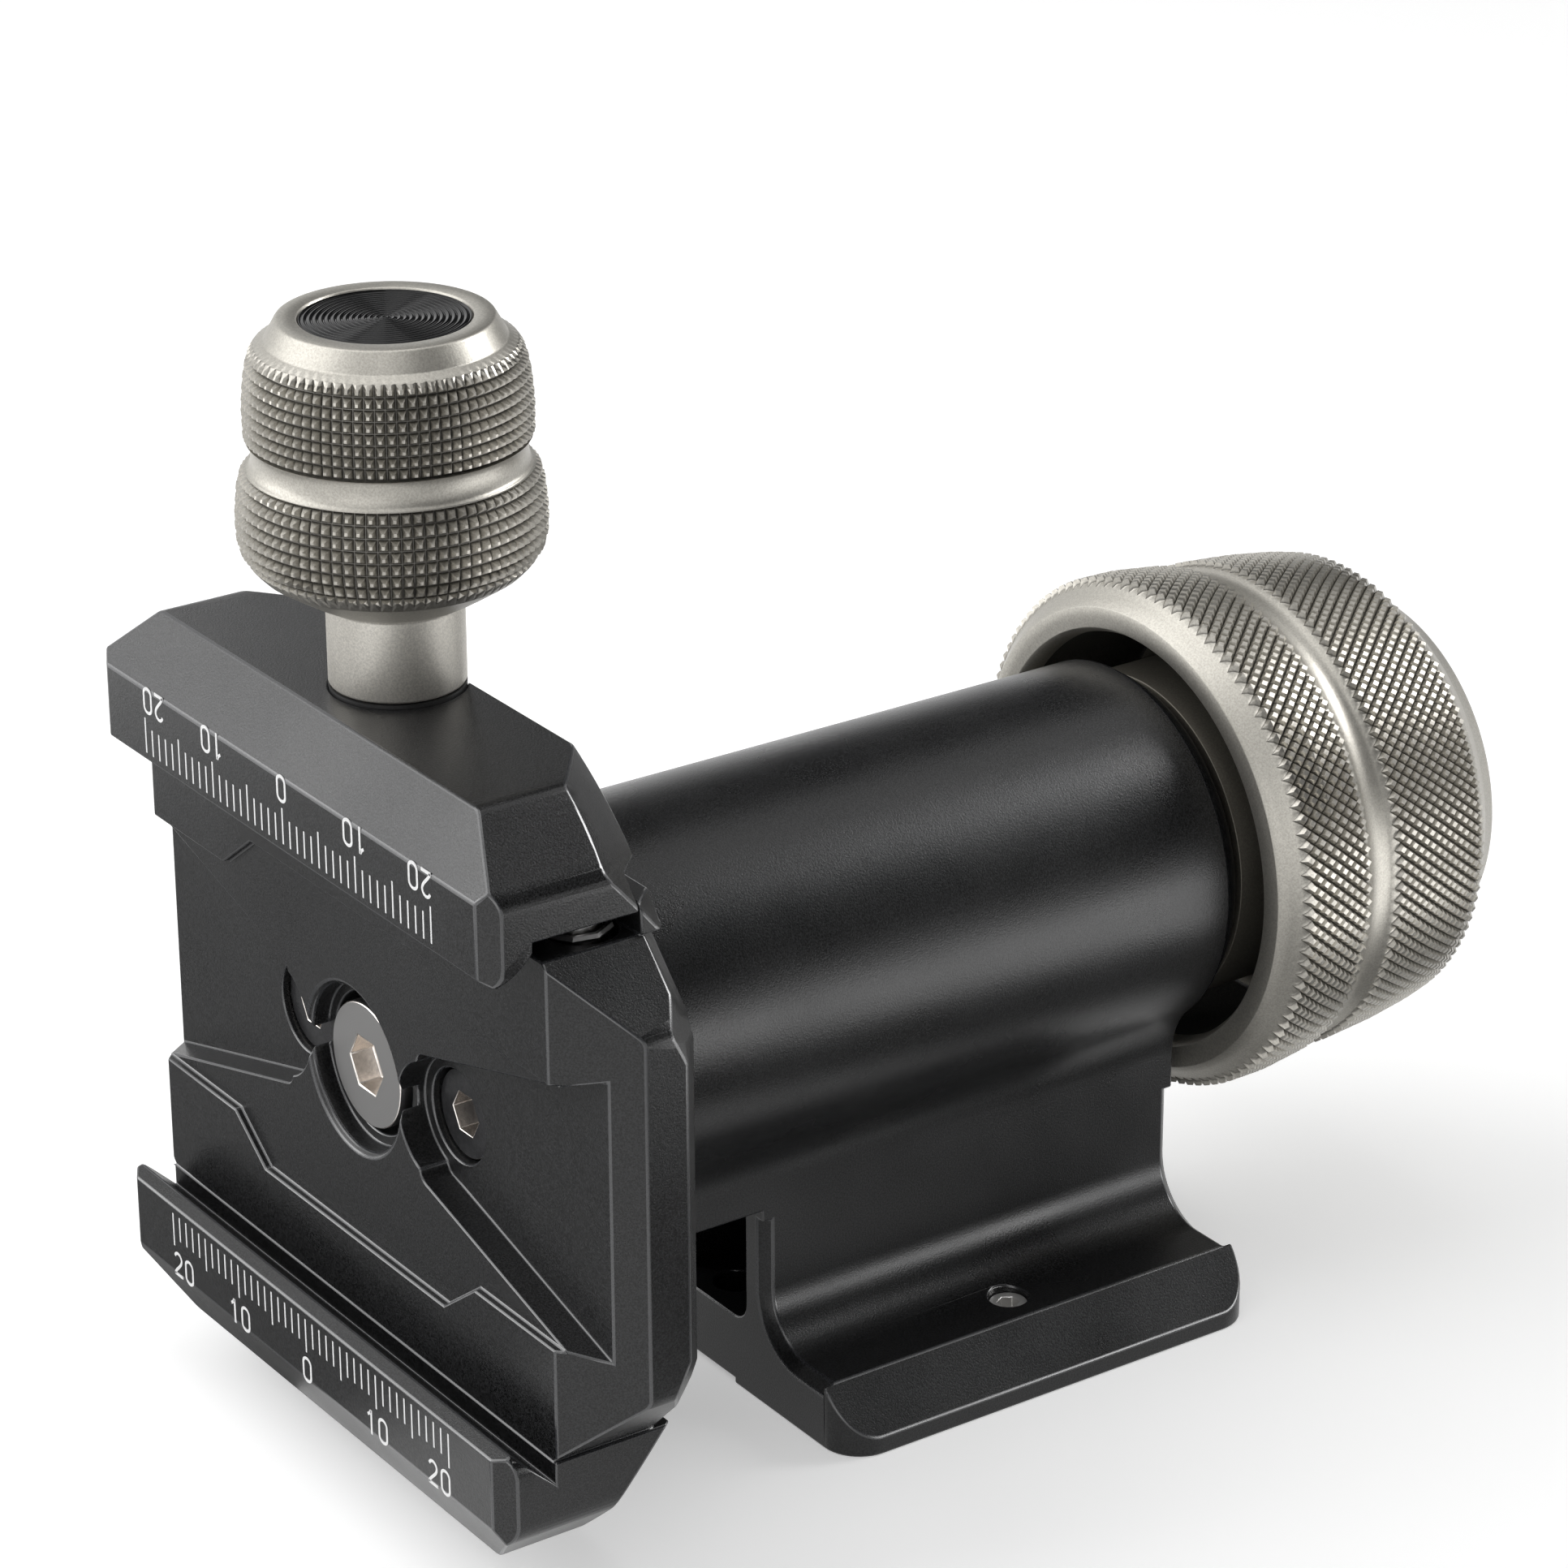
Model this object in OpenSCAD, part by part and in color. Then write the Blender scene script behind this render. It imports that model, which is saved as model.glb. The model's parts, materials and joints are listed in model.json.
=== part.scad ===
// Gimbal head: a tilting arm with a graduated dovetail clamp and two knurled knobs.
// The origin is the centre of the base's underside, +Y runs from the clamp to the tilt knob and +Z is up.
// Places written as y in the head are measured from the scale face, and z from the tilt axis.

/* [Base] */
// Width and depth of the square base
base_w = 39.2; // [38:0.2:44]
// Height of the upright band round the base
base_band_h = 1.5; // [1:0.1:2]
// Height of the flange's flat top
flange_h = 5.3; // [4.8:0.1:6]
// Width of the sloping rim outside the flange's flat top
rim_slope_w = 3.3; // [2.6:0.1:4]
// Radius of the base's upright corners
base_corner_r = 3.2; // [2:0.1:4]
// Radius of the hollow between flange and stem
flange_fillet_r = 4.5; // [3.5:0.1:5]
// Width of the shallow groove under the base
base_groove_w = 8.8; // [6:0.2:10]
// Depth of the shallow groove under the base
base_groove_d = 0.44; // [0.3:0.02:0.6]
// Wall radius of the tripod thread in the insert
tripod_thread_r = 3.97; // [3.2:0.01:4.2]
// Outer radius of the threaded insert
insert_r = 5.8; // [5.4:0.1:6.4]
// Length of the threaded insert
insert_l = 8; // [6:0.5:9]
// Radius of the base set screws
set_screw_r = 1.5; // [1.2:0.1:1.8]
// Length of the base set screws
set_screw_l = 4.2; // [3:0.1:4.6]
// Distance of a set screw from the middle of the base
set_screw_x = 13.2; // [12.6:0.1:14]

/* [Arm] */
// Height of the tilt axis above the underside of the base
axis_h = 33.8; // [32:0.2:40]
// Distance from the scale face to the centre of the base
reach = 54.4; // [53:0.2:58]
// Outer radius of the tube
tube_r = 14.77; // [14.2:0.01:16]
// Place of the tube's front face in the head
tube_front_y = 17.1; // [16.8:0.1:19]
// Length of the tube
tube_l = 59.2; // [58.8:0.1:64]
// Radius of the rounding at the tube's rear end
tube_end_r = 3.3; // [2:0.1:3.5]
// Thickness of the stem
stem_t = 16.8; // [15:0.1:18]
// Radius of the hollow between tube and stem
tube_fillet_r = 6; // [5:0.1:7]
// Drop of the keel below the tube, in front of the stem
keel_drop = 2.43; // [2:0.1:3]
// Chamfer on the stem's upright edges
stem_chamfer = 0.9; // [0.5:0.1:1.2]
// Width of the pocket in the stem's front
stem_pocket_w = 12; // [9:0.1:13]
// Depth of the pocket in the stem's front
stem_pocket_d = 9; // [6:0.1:10]
// Height of the pocket's floor above the underside of the base
stem_pocket_floor = 6; // [5.5:0.1:8]
// Radius of the pocket's lower corners
stem_pocket_r = 1.6; // [1:0.1:2.4]
// Radius of the small hole in the pocket's floor
stem_hole_r = 1.7; // [1.2:0.1:2]
// Distance of the small hole behind the stem's front face
stem_hole_y = 3.1; // [2.6:0.1:4]

/* [Clamp] */
// Width of the clamp body across its side faces
clamp_w = 64.8; // [63:0.2:68]
// Thickness of the clamp from scale face to back
clamp_t = 13.93; // [13.5:0.01:15]
// Distance of the front plane behind the scale face
front_y = 4.21; // [4:0.01:4.6]
// Depth of the recessed web below the front plane
web_d = 0.6; // [0.3:0.05:0.9]
// Half width of the recessed web at its top and bottom
web_top_x = 12.8; // [12:0.1:13.4]
// Height of the web's top above the tilt axis
web_top_z = 13.4; // [12.8:0.1:14]
// Half width of the web where its arms start
web_arm_x = 17.1; // [16:0.1:18]
// Half height of the web's arms
web_arm_z = 10.2; // [9.6:0.1:10.8]
// Depth of the wedge pockets below the front plane
wedge_d = 2.95; // [2.2:0.05:3.4]
// Half height that the wedge pockets would have at the middle of the body
wedge_mid_z = 2.39; // [2:0.01:2.6]
// Rise of the wedge pockets' edges for each unit outwards
wedge_slope = 0.275; // [0.2:0.005:0.3]
// Rounding of the wedge pockets' inner corners
wedge_r = 1; // [0.6:0.1:1.4]
// Rounding of the corners beside the upright side faces
body_round = 1.2; // [0.8:0.1:2]
// Width of the upright bevel between front plane and side
body_bevel = 4.8; // [4:0.1:5.2]
// Distance of the slanted corner planes from the tilt axis
corner_d = 32.8; // [32:0.1:34]
// Chamfer round the back edge of the clamp body
back_chamfer = 1.6; // [1:0.1:2]
// Height of the body's top face above the tilt axis
body_top_z = 19.2; // [18.8:0.05:19.4]
// Height of the rear wall's top above the tilt axis
rear_wall_z = 21.5; // [21:0.1:21.6]
// Thickness of the rear wall behind the moving jaw
rear_wall_t = 1.93; // [1.5:0.01:2.2]

/* [Jaws] */
// Width of the jaws
jaw_w = 54.94; // [53:0.02:58]
// Height of a lip's front edge above the tilt axis
lip_z = 18.4; // [18.2:0.05:18.7]
// Set-back of the lip's inner edge
lip_y = 1.04; // [0.8:0.02:1.3]
// Height of the lip's inner edge
lip_in_z = 17.88; // [17.6:0.02:18.1]
// Height of the bottom of the dovetail groove
vee_z = 20.96; // [20.8:0.02:21.1]
// Height of the scale face's outer edge
scale_z = 24.06; // [23.5:0.02:24.6]
// Height of a jaw's outer face
jaw_z = 28.95; // [28.5:0.05:30]
// Set-back of the jaw's outer face
brow_y = 2.73; // [2:0.01:3.2]
// Gap behind the moving jaw's lip, where its wall stands
relief_y = 3.4; // [3.2:0.05:3.8]
// Half width of the jaw's outer face
end_x = 22; // [21:0.1:23]
// Height where the slanted end meets the side face
end_z = 24.3; // [24:0.1:25]
// Rounding where the slanted end meets the side face
end_round = 2.2; // [1:0.1:3]
// Rounding where the slanted end meets the outer face
end_top_round = 1.4; // [0.5:0.1:2]
// Rounding of the lips' outer corners
lip_round = 2; // [1:0.1:2.4]
// Half width of the scale face
scale_x = 25.7; // [25:0.05:26.2]
// Set-back of the side face's front edge
corner_y = 1.05; // [0.8:0.05:1.4]
// Radius of the rear cone where it starts
cone_r = 36.5; // [36:0.1:37.5]
// Place in the head where the rear cone starts
cone_y = 9.4; // [9:0.1:10]
// Radius of the rear cone at the back face
cone_back_r = 33.2; // [33:0.1:34]
// Travel of the moving jaw towards the body
jaw_close = 1.45; // [0.8:0.05:1.5]
// Travel of the moving jaw away from the body
jaw_open = 3; // [2:0.1:3.2]

/* [Clamp screws] */
// Radius of the centre screw's head
centre_head_r = 4.79; // [4.4:0.01:5]
// Place of the centre screw's face in the head
centre_face_y = 5.95; // [5.6:0.05:6.4]
// Height of the centre screw's head
centre_head_h = 3.2; // [2.6:0.1:3.4]
// Radius of the counterbore round the centre screw
counterbore_r = 6.3; // [5.9:0.05:6.5]
// Radius of the centre screw's shank
centre_shank_r = 3; // [2.4:0.1:3.2]
// Half the spacing of the two flange screws
flange_screw_x = 10.75; // [10.4:0.05:11]
// Radius of the flange screws' heads
flange_head_r = 3.35; // [3:0.05:3.4]
// Height of the flange screws' heads
flange_head_h = 3; // [2.4:0.1:3.2]
// Radius of the flange screws' shanks
flange_shank_r = 2; // [1.6:0.1:2.2]
// Width of the centre screw's socket
centre_socket_w = 4; // [3:0.1:4.2]
// Width of the flange screws' sockets
flange_socket_w = 3; // [2.4:0.1:3.2]

/* [Jaw guides] */
// Radius of the clamp screw
screw_r = 3; // [2.4:0.1:3]
// Place of the clamp screw's axis in the head
screw_y = 9.73; // [9.6:0.01:9.9]
// Half the spacing of the guide pins
pin_x = 24; // [22:0.1:24.4]
// Radius of the guide pins
pin_r = 1.4; // [1.2:0.1:1.5]
// Place of the guide pins in the head
pin_y = 9.3; // [9:0.05:9.3]
// Depth of the pins' holes in the body below its top face
pin_hole_d = 13.2; // [12:0.1:14]
// Depth of the spring seats below the body's top face
spring_seat_d = 5.2; // [4.6:0.1:6]
// Radius of the spring wire
wire_r = 0.3; // [0.25:0.01:0.32]
// Mean radius of the jaw springs
coil_r = 2.05; // [2.05:0.01:2.15]
// Number of curls in a jaw spring
curls = 5; // [4:1:6]

/* [Clamp knob] */
// Radius of the knob's neck
neck_r = 4.9; // [4.6:0.05:5.2]
// Height of the neck
neck_h = 6.25; // [5:0.05:8]
// Widest radius of the clamp knob
clamp_knob_r = 10.88; // [10:0.02:12]
// Height of the clamp knob above its neck
clamp_knob_h = 20.6; // [19:0.1:24]
// Radius of the black cap
cap_r = 6; // [5.5:0.05:6.5]

/* [Tilt knob] */
// Radius of the rear knob at its widest ring
tilt_knob_r = 20.75; // [20.3:0.05:22]
// Length of the tilt knob
tilt_knob_l = 25.4; // [24:0.1:28]
// How far the tilt knob's open front reaches over the tube's end
knob_overlap = 0.8; // [0.3:0.1:1.1]
// Radius of the knob's open front
cup_r = 16.4; // [15.8:0.05:16.6]
// Radius of the knob's inner hub
hub_r = 13.3; // [12.5:0.1:13.8]
// Travel of the tilt knob when it is loosened
knob_travel = 0.5; // [0.3:0.05:0.5]

/* [Tilt axle] */
// Radius of the shaft in its bearings
shaft_r = 6; // [5.8:0.05:6.2]
// Radius of the shaft's threaded end
thread_r = 5; // [4.6:0.05:5.2]
// Radius of the shaft's flange
flange_r = 14.2; // [13.6:0.05:14.4]
// Thickness of the shaft's flange
flange_t = 2.67; // [2.4:0.01:2.8]
// Outer radius of the bearings
bearing_r = 10.5; // [10.2:0.05:10.8]
// Width of the bearings
bearing_w = 5; // [4.6:0.1:5.2]
// Radius of the bearing balls
ball_r = 1.2; // [1:0.05:1.25]
// Number of balls in a bearing
ball_count = 12; // [8:1:14]

/* [Hidden] */

// Overrun of cuts past the faces that they open
over = 1;
// Clearance of running fits, on the radius
fit_gap = 0.05;
// Clearance of pieces that sit in a seat of their own body
seat_gap = 0.02;
// Gap between flat faces that slide on each other
face_gap = 0.05;
// Clearance that stays at the ends of a travel
stop_gap = 0.3;
// Depth of a screw's socket as a share of its head's height
socket_share = 0.6;
// Flat steps in a rounded outline corner
corner_steps = 5;
// Facets of turned pieces
turn_fn = 96;
// Facets of small turned pieces
small_fn = 48;

// Colours
black = [0.13, 0.13, 0.14];
champagne = [0.55, 0.53, 0.48];
steel = [0.72, 0.72, 0.72];
dark_steel = [0.2, 0.2, 0.2];
polymer = [0.12, 0.12, 0.12];
brass = [0.72, 0.6, 0.3];

// Places worked out along the head
tube_end_y = tube_front_y + tube_l;
tilt_knob_y = tube_end_y - knob_overlap;
base_front_y = reach - base_w / 2;
base_back_y = reach + base_w / 2;
base_z = -axis_h;
clamp_back_y = clamp_t;
flange_back_y = clamp_back_y + flange_t;

// Wall in front of the front bearing, and the land behind the snap ring
bearing_setback = 0.7;
snap_ring_t = 1;
snap_land = 1;
snap_groove_d = 0.6;
snap_gap_w = 3.5;
front_seat_y = tube_front_y + bearing_w + bearing_setback;
rear_seat_y = tube_end_y - bearing_w - snap_ring_t - snap_land;
land_r = bearing_r - ball_r;

// Unit direction of a vector
function unit(v) = v / norm(v);

// Angle brought into the range of one half turn either way
function wrapped(a) = a > 180 ? a - 360 : a < -180 ? a + 360 : a;

// Points of an outline corner at b, rounded to the radius r
function corner(a, b, c, r) = r == 0 ? [b] :
    let(u = unit(a - b), v = unit(c - b), half = acos(u * v) / 2,
        m = b + unit(u + v) * r / sin(half), p = b + u * r / tan(half) - m, q = b + v * r / tan(half) - m,
        start = atan2(p.y, p.x), sweep = wrapped(atan2(q.y, q.x) - start))
    [for (i = [0:corner_steps]) m + r * [cos(start + sweep * i / corner_steps),
        sin(start + sweep * i / corner_steps)]];

// Outline whose corners [x, y, r] are rounded to their own radius
function rounded(pts) = let(n = len(pts), xy = [for (p = pts) [p.x, p.y]])
    [for (i = [0:n - 1]) each corner(xy[(i + n - 1) % n], xy[i], xy[(i + 1) % n], pts[i][2])];

// Outline mirrored about the upright axis and joined to itself
function both_sides(half) = let(n = len(half))
    concat(half, [for (i = [1:n]) [-half[n - i].x, half[n - i].y, half[n - i][2]]]);

// Move children to the head's frame
module in_head() {
    translate([0, -reach, axis_h]) children();
}

// Extrude an x, z outline along y from y0 to y1
module along_y(y0, y1) {
    translate([0, y1, 0]) rotate([90, 0, 0]) linear_extrude(y1 - y0) children();
}

// Extrude a y, z outline along x, centred
module along_x(w) {
    translate([-w / 2, 0, 0]) rotate([90, 0, 90]) linear_extrude(w) children();
}

// Turn an outline of radius and y about the tilt axis
module about_tilt() {
    rotate([-90, 0, 0]) rotate_extrude($fn = turn_fn) children();
}

// Round bar along y from y0 to y1
module bar_y(r, y0, y1, facets = turn_fn) {
    translate([0, y0, 0]) rotate([-90, 0, 0]) cylinder(r = r, h = y1 - y0, $fn = facets);
}

// Ring along y from y0 to y1
module ring_y(outer, inner, y0, y1) {
    difference() {
        bar_y(outer, y0, y1);
        bar_y(inner, y0 - over, y1 + over);
    }
}

// Hexagon socket along y, open towards the front
module socket_y(across, y0, depth) {
    translate([0, y0 - over, 0]) rotate([-90, 0, 0])
        cylinder(d = across / cos(30), h = depth + over, $fn = 6);
}

// The arm

// Centre of the hollow between tube and stem, seen along the tube
hollow_x = stem_t / 2 + tube_fillet_r;
hollow_z = -sqrt(pow(tube_r + tube_fillet_r, 2) - pow(hollow_x, 2));

// Section of tube, hollows and stem down to the height low_z
module arm_section(low_z) {
    circle(r = tube_r, $fn = turn_fn);
    translate([-stem_t / 2, low_z]) square([stem_t, -low_z]);
    for (side = [-1, 1]) scale([side, 1]) difference() {
        polygon([[0, 0], unit([hollow_x, hollow_z]) * tube_r, [hollow_x, hollow_z],
            [stem_t / 2, hollow_z], [0, hollow_z]]);
        translate([hollow_x, hollow_z]) circle(r = tube_fillet_r, $fn = turn_fn);
    }
}

// Section of the flange, seen along the tube, from the underside of the base
module flange_section() {
    hollow = [stem_t / 2 + flange_fillet_r, flange_h + flange_fillet_r];
    for (side = [-1, 1]) scale([side, 1]) difference() {
        polygon([[0, 0], [base_w / 2, 0], [base_w / 2, base_band_h],
            [base_w / 2 - rim_slope_w, flange_h], [hollow.x, flange_h], hollow,
            [stem_t / 2, hollow.y], [0, hollow.y]]);
        translate(hollow) circle(r = flange_fillet_r, $fn = turn_fn);
    }
}

// Square with round corners
module round_square(w, r) {
    for (turn = [0, 90]) rotate(turn) square([w, w - 2 * r], center = true);
    for (x = [-1, 1], y = [-1, 1]) translate([x, y] * (w / 2 - r)) circle(r = r, $fn = small_fn);
}

// Cutters for the chamfers on the outline of one end of the stem, in base coordinates
module stem_end_cutters() {
    front = -base_w / 2;
    low = flange_h + flange_fillet_r;
    high = axis_h - tube_r - keel_drop - stem_chamfer;
    hollow_end_x = stem_t / 2 + flange_fillet_r;
    outer_r = flange_fillet_r + stem_chamfer;
    for (side = [-1, 1]) scale([side, 1, 1]) {
        translate([0, 0, low]) linear_extrude(high - low)
            polygon([[stem_t / 2 - stem_chamfer - over, front - over], [stem_t / 2 + over, front - over],
                [stem_t / 2 + over, front + stem_chamfer + over]]);
        translate([hollow_end_x, 0, 0]) rotate([90, 0, 90])
            linear_extrude(base_w / 2 - rim_slope_w - hollow_end_x)
            polygon([[front - over, flange_h - stem_chamfer - over], [front - over, flange_h + over],
                [front + stem_chamfer + over, flange_h + over]]);
        translate([hollow_end_x, front, low]) rotate([-90, 0, 0]) intersection() {
            cylinder(r1 = outer_r, r2 = flange_fillet_r, h = stem_chamfer, $fn = turn_fn);
            translate([-outer_r, 0, 0]) cube([outer_r, outer_r, stem_chamfer]);
        }
    }
}

// Base, stem and tube in one piece
module arm_housing() color(black) difference() {
    union() {
        intersection() {
            translate([0, base_w / 2, 0]) rotate([90, 0, 0]) linear_extrude(base_w) flange_section();
            linear_extrude(axis_h) round_square(base_w, base_corner_r);
        }
        in_head() {
            along_y(base_front_y, base_back_y) arm_section(base_z + flange_h);
            along_y(tube_front_y, base_front_y) arm_section(-tube_r - keel_drop);
            about_tilt() tube_profile();
        }
    }
    for (turn = [0, 180]) rotate(turn) stem_end_cutters();
    stem_pocket();
    in_head() housing_bore();
    translate([0, 0, -over])
        cylinder(r = insert_r + seat_gap, h = insert_l + seat_gap + over, $fn = small_fn);
    for (side = [-1, 1]) translate([side * set_screw_x, 0, -over])
        cylinder(r = set_screw_r + fit_gap, h = axis_h - tube_r - over, $fn = small_fn);
    translate([-base_groove_w / 2, -base_w, -over]) cube([base_groove_w, 2 * base_w, base_groove_d + over]);
}

// Half section of the tube's rear end
module tube_profile() difference() {
    translate([0, base_back_y]) square([tube_r, tube_end_y - base_back_y]);
    translate([tube_r - tube_end_r, tube_end_y - tube_end_r]) difference() {
        square(tube_end_r + over);
        circle(r = tube_end_r, $fn = small_fn);
    }
}

// Pocket in the front of the stem, with a small hole in its floor
module stem_pocket() {
    top = axis_h - tube_r - keel_drop;
    w = stem_pocket_w / 2;
    r = stem_pocket_r;
    translate([0, stem_pocket_d - base_w / 2, 0]) rotate([90, 0, 0]) linear_extrude(stem_pocket_d + over)
        polygon(rounded(both_sides([[w, stem_pocket_floor, r], [w, top, 0]])));
    translate([0, stem_hole_y - base_w / 2, base_band_h])
        cylinder(r = stem_hole_r, h = stem_pocket_floor, $fn = small_fn);
}

// Bearing seats, land and snap ring groove inside the tube
module housing_bore() {
    bar_y(land_r, tube_front_y - over, tube_end_y + over);
    bar_y(bearing_r + seat_gap, tube_front_y - over, front_seat_y);
    bar_y(bearing_r + seat_gap, rear_seat_y, tube_end_y + over);
    bar_y(bearing_r + snap_groove_d, tube_end_y - snap_land - snap_ring_t, tube_end_y - snap_land);
}

// Steel insert with the tripod thread
module base_thread_insert() color(steel) difference() {
    cylinder(r = insert_r, h = insert_l, $fn = small_fn);
    translate([0, 0, -over]) cylinder(r = tripod_thread_r, h = insert_l + 2 * over, $fn = small_fn);
}

// The two set screws that lock the base to what it stands on
module base_set_screws() color(steel) for (side = [-1, 1]) {
    top = flange_h - stem_chamfer / 2;
    translate([side * set_screw_x, 0, top - set_screw_l]) difference() {
        cylinder(r = set_screw_r, h = set_screw_l, $fn = small_fn);
        translate([0, 0, set_screw_l / 2]) cylinder(d = set_screw_r / cos(30), h = set_screw_l, $fn = 6);
    }
}

// Bearings

// Distance of a race's wall from the balls' circle as a share of the balls' radius
race_share = 0.55;
race_y = bearing_w / 2;
pitch_r = (shaft_r + bearing_r) / 2;
inner_race_r = pitch_r - race_share * ball_r;
outer_race_r = pitch_r + race_share * ball_r;
groove_r = ball_r + 2 * fit_gap;

// Groove that the balls run in, for a bearing that starts at y0
module ball_groove(y0) {
    about_tilt() translate([pitch_r, y0 + race_y]) circle(r = groove_r, $fn = small_fn);
}

module bearing_outer_ring(y0) color(steel) difference() {
    ring_y(bearing_r, outer_race_r, y0, y0 + bearing_w);
    ball_groove(y0);
}

module bearing_inner_ring(y0) color(steel) difference() {
    ring_y(inner_race_r, shaft_r + seat_gap, y0, y0 + bearing_w);
    ball_groove(y0);
}

module bearing_balls(y0) color(steel) for (i = [0:ball_count - 1])
    rotate([0, 360 * i / ball_count, 0]) translate([pitch_r, y0 + race_y, 0]) sphere(r = ball_r, $fn = 24);

front_bearing_y = front_seat_y - bearing_w - seat_gap;
rear_bearing_y = rear_seat_y + seat_gap;

module front_bearing_outer_ring() in_head() bearing_outer_ring(front_bearing_y);
module front_bearing_balls() in_head() bearing_balls(front_bearing_y);
module front_bearing_inner_ring() in_head() bearing_inner_ring(front_bearing_y);
module rear_bearing_outer_ring() in_head() bearing_outer_ring(rear_bearing_y);
module rear_bearing_balls() in_head() bearing_balls(rear_bearing_y);
module rear_bearing_inner_ring() in_head() bearing_inner_ring(rear_bearing_y);

// Snap ring in the groove behind the rear bearing, open at the top
module bearing_snap_ring() color(dark_steel) in_head() difference() {
    ring_y(bearing_r + snap_groove_d - seat_gap, land_r, tube_end_y - snap_land - snap_ring_t + seat_gap,
        tube_end_y - snap_land - seat_gap);
    translate([-snap_gap_w / 2, tube_end_y - bearing_w, 0]) cube([snap_gap_w, bearing_w, 2 * bearing_r]);
}

// Friction pieces on the two ends of the tube

module front_friction_disc() color(polymer) in_head()
    ring_y(flange_r, bearing_r, flange_back_y + face_gap, tube_front_y);

friction_washer_t = 0.5;
knob_insert_l = 16;
thrust_washer_t = 0.6;
thrust_washer_r = 11.7;
friction_washer_r = 11.1;
thrust_washer_y = tube_end_y + friction_washer_t + face_gap;
hub_front_y = thrust_washer_y + thrust_washer_t + face_gap;

module rear_friction_washer() color(polymer) in_head()
    ring_y(friction_washer_r, shaft_r + stop_gap, tube_end_y, tube_end_y + friction_washer_t);

// The clamp body

body_x = clamp_w / 2;
slant = corner_d * sqrt(2);
side_x = jaw_w / 2;
web_y = front_y + web_d;
wedge_y = front_y + wedge_d;
rear_wall_y = clamp_t - rear_wall_t;

// Outline of the body seen from the front, down to the fixed jaw
module body_outline() {
    polygon(rounded(both_sides([[side_x, -vee_z - over, 0], [side_x, side_x - slant, 0],
        [body_x, body_x - slant, body_round], [body_x, slant - body_x, body_round],
        [slant - body_top_z, body_top_z, 0]])));
}

// Outline of the body seen from above, with its front bevels and back chamfers
module body_plan(half_w, bevel) {
    polygon([for (p = both_sides([[half_w - bevel, front_y, 0], [half_w, front_y + bevel, 0],
        [half_w, clamp_t - back_chamfer, 0], [half_w - back_chamfer, clamp_t, 0]])) [p.x, p.y]]);
}

// Tall prism of a plan outline, turned about the tilt axis
module plan_prism(turn, half_w, bevel) {
    rotate([0, turn, 0]) translate([0, 0, -body_x * 2]) linear_extrude(body_x * 4) body_plan(half_w, bevel);
}

// Cone that trims the outer rear edge of both jaws
module rear_cone() {
    slope = (cone_r - cone_back_r) / (clamp_t - cone_y);
    about_tilt() polygon([[0, -over], [cone_r + slope * (cone_y + over), -over],
        [cone_back_r - slope * over, clamp_t + over], [0, clamp_t + over]]);
}

// Outline of a jaw seen from the front, from the height low_z outwards, with lower corners of the radius r
module jaw_front(low_z, r) {
    polygon(rounded(both_sides([[side_x, low_z, r], [side_x, end_z, end_round],
        [end_x, jaw_z, end_top_round]])));
}

// Outline of a jaw seen from above, with its bevelled front corners
module jaw_plan() {
    polygon([for (p = both_sides([[scale_x, 0, 0], [side_x, corner_y, 0], [side_x, clamp_t, 0]]))
        [p.x, p.y]]);
}

// Jaw above the tilt axis, from a y, z outline given as child
module jaw_blank(low_z) {
    intersection() {
        along_x(jaw_w) children();
        union() {
            along_y(-over, front_y) jaw_front(lip_in_z - stop_gap, lip_round);
            along_y(front_y, clamp_t) jaw_front(low_z, 0);
        }
        linear_extrude(jaw_z) jaw_plan();
        rear_cone();
    }
}

// Lip, groove and outer face of the fixed jaw, drawn above the tilt axis
module fixed_jaw_profile() {
    polygon([[0, lip_z], [lip_y, lip_in_z], [front_y, vee_z], [clamp_t, vee_z], [clamp_t, jaw_z],
        [brow_y, jaw_z], [0, scale_z]]);
}

// Half height of the wedge pockets at the distance x from the middle
function wedge_z(x) = wedge_mid_z + wedge_slope * x;

// Recessed web of the front plane, tall in the middle and lower in its two arms
module web_outline() {
    for (flip = [0, 1]) mirror([0, flip]) polygon([for (p = both_sides([[body_x, -over],
        [body_x, web_arm_z], [web_arm_x, web_arm_z], [web_top_x, web_top_z]])) [p.x, p.y]]);
}

// Wedge pocket on one side
module wedge_outline() {
    inner = flange_screw_x - flange_head_r / 2;
    polygon(rounded([[inner, wedge_z(inner), wedge_r], [body_x + over, wedge_z(body_x + over), 0],
        [body_x + over, -wedge_z(body_x + over), 0], [inner, -wedge_z(inner), wedge_r]]));
}

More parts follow.
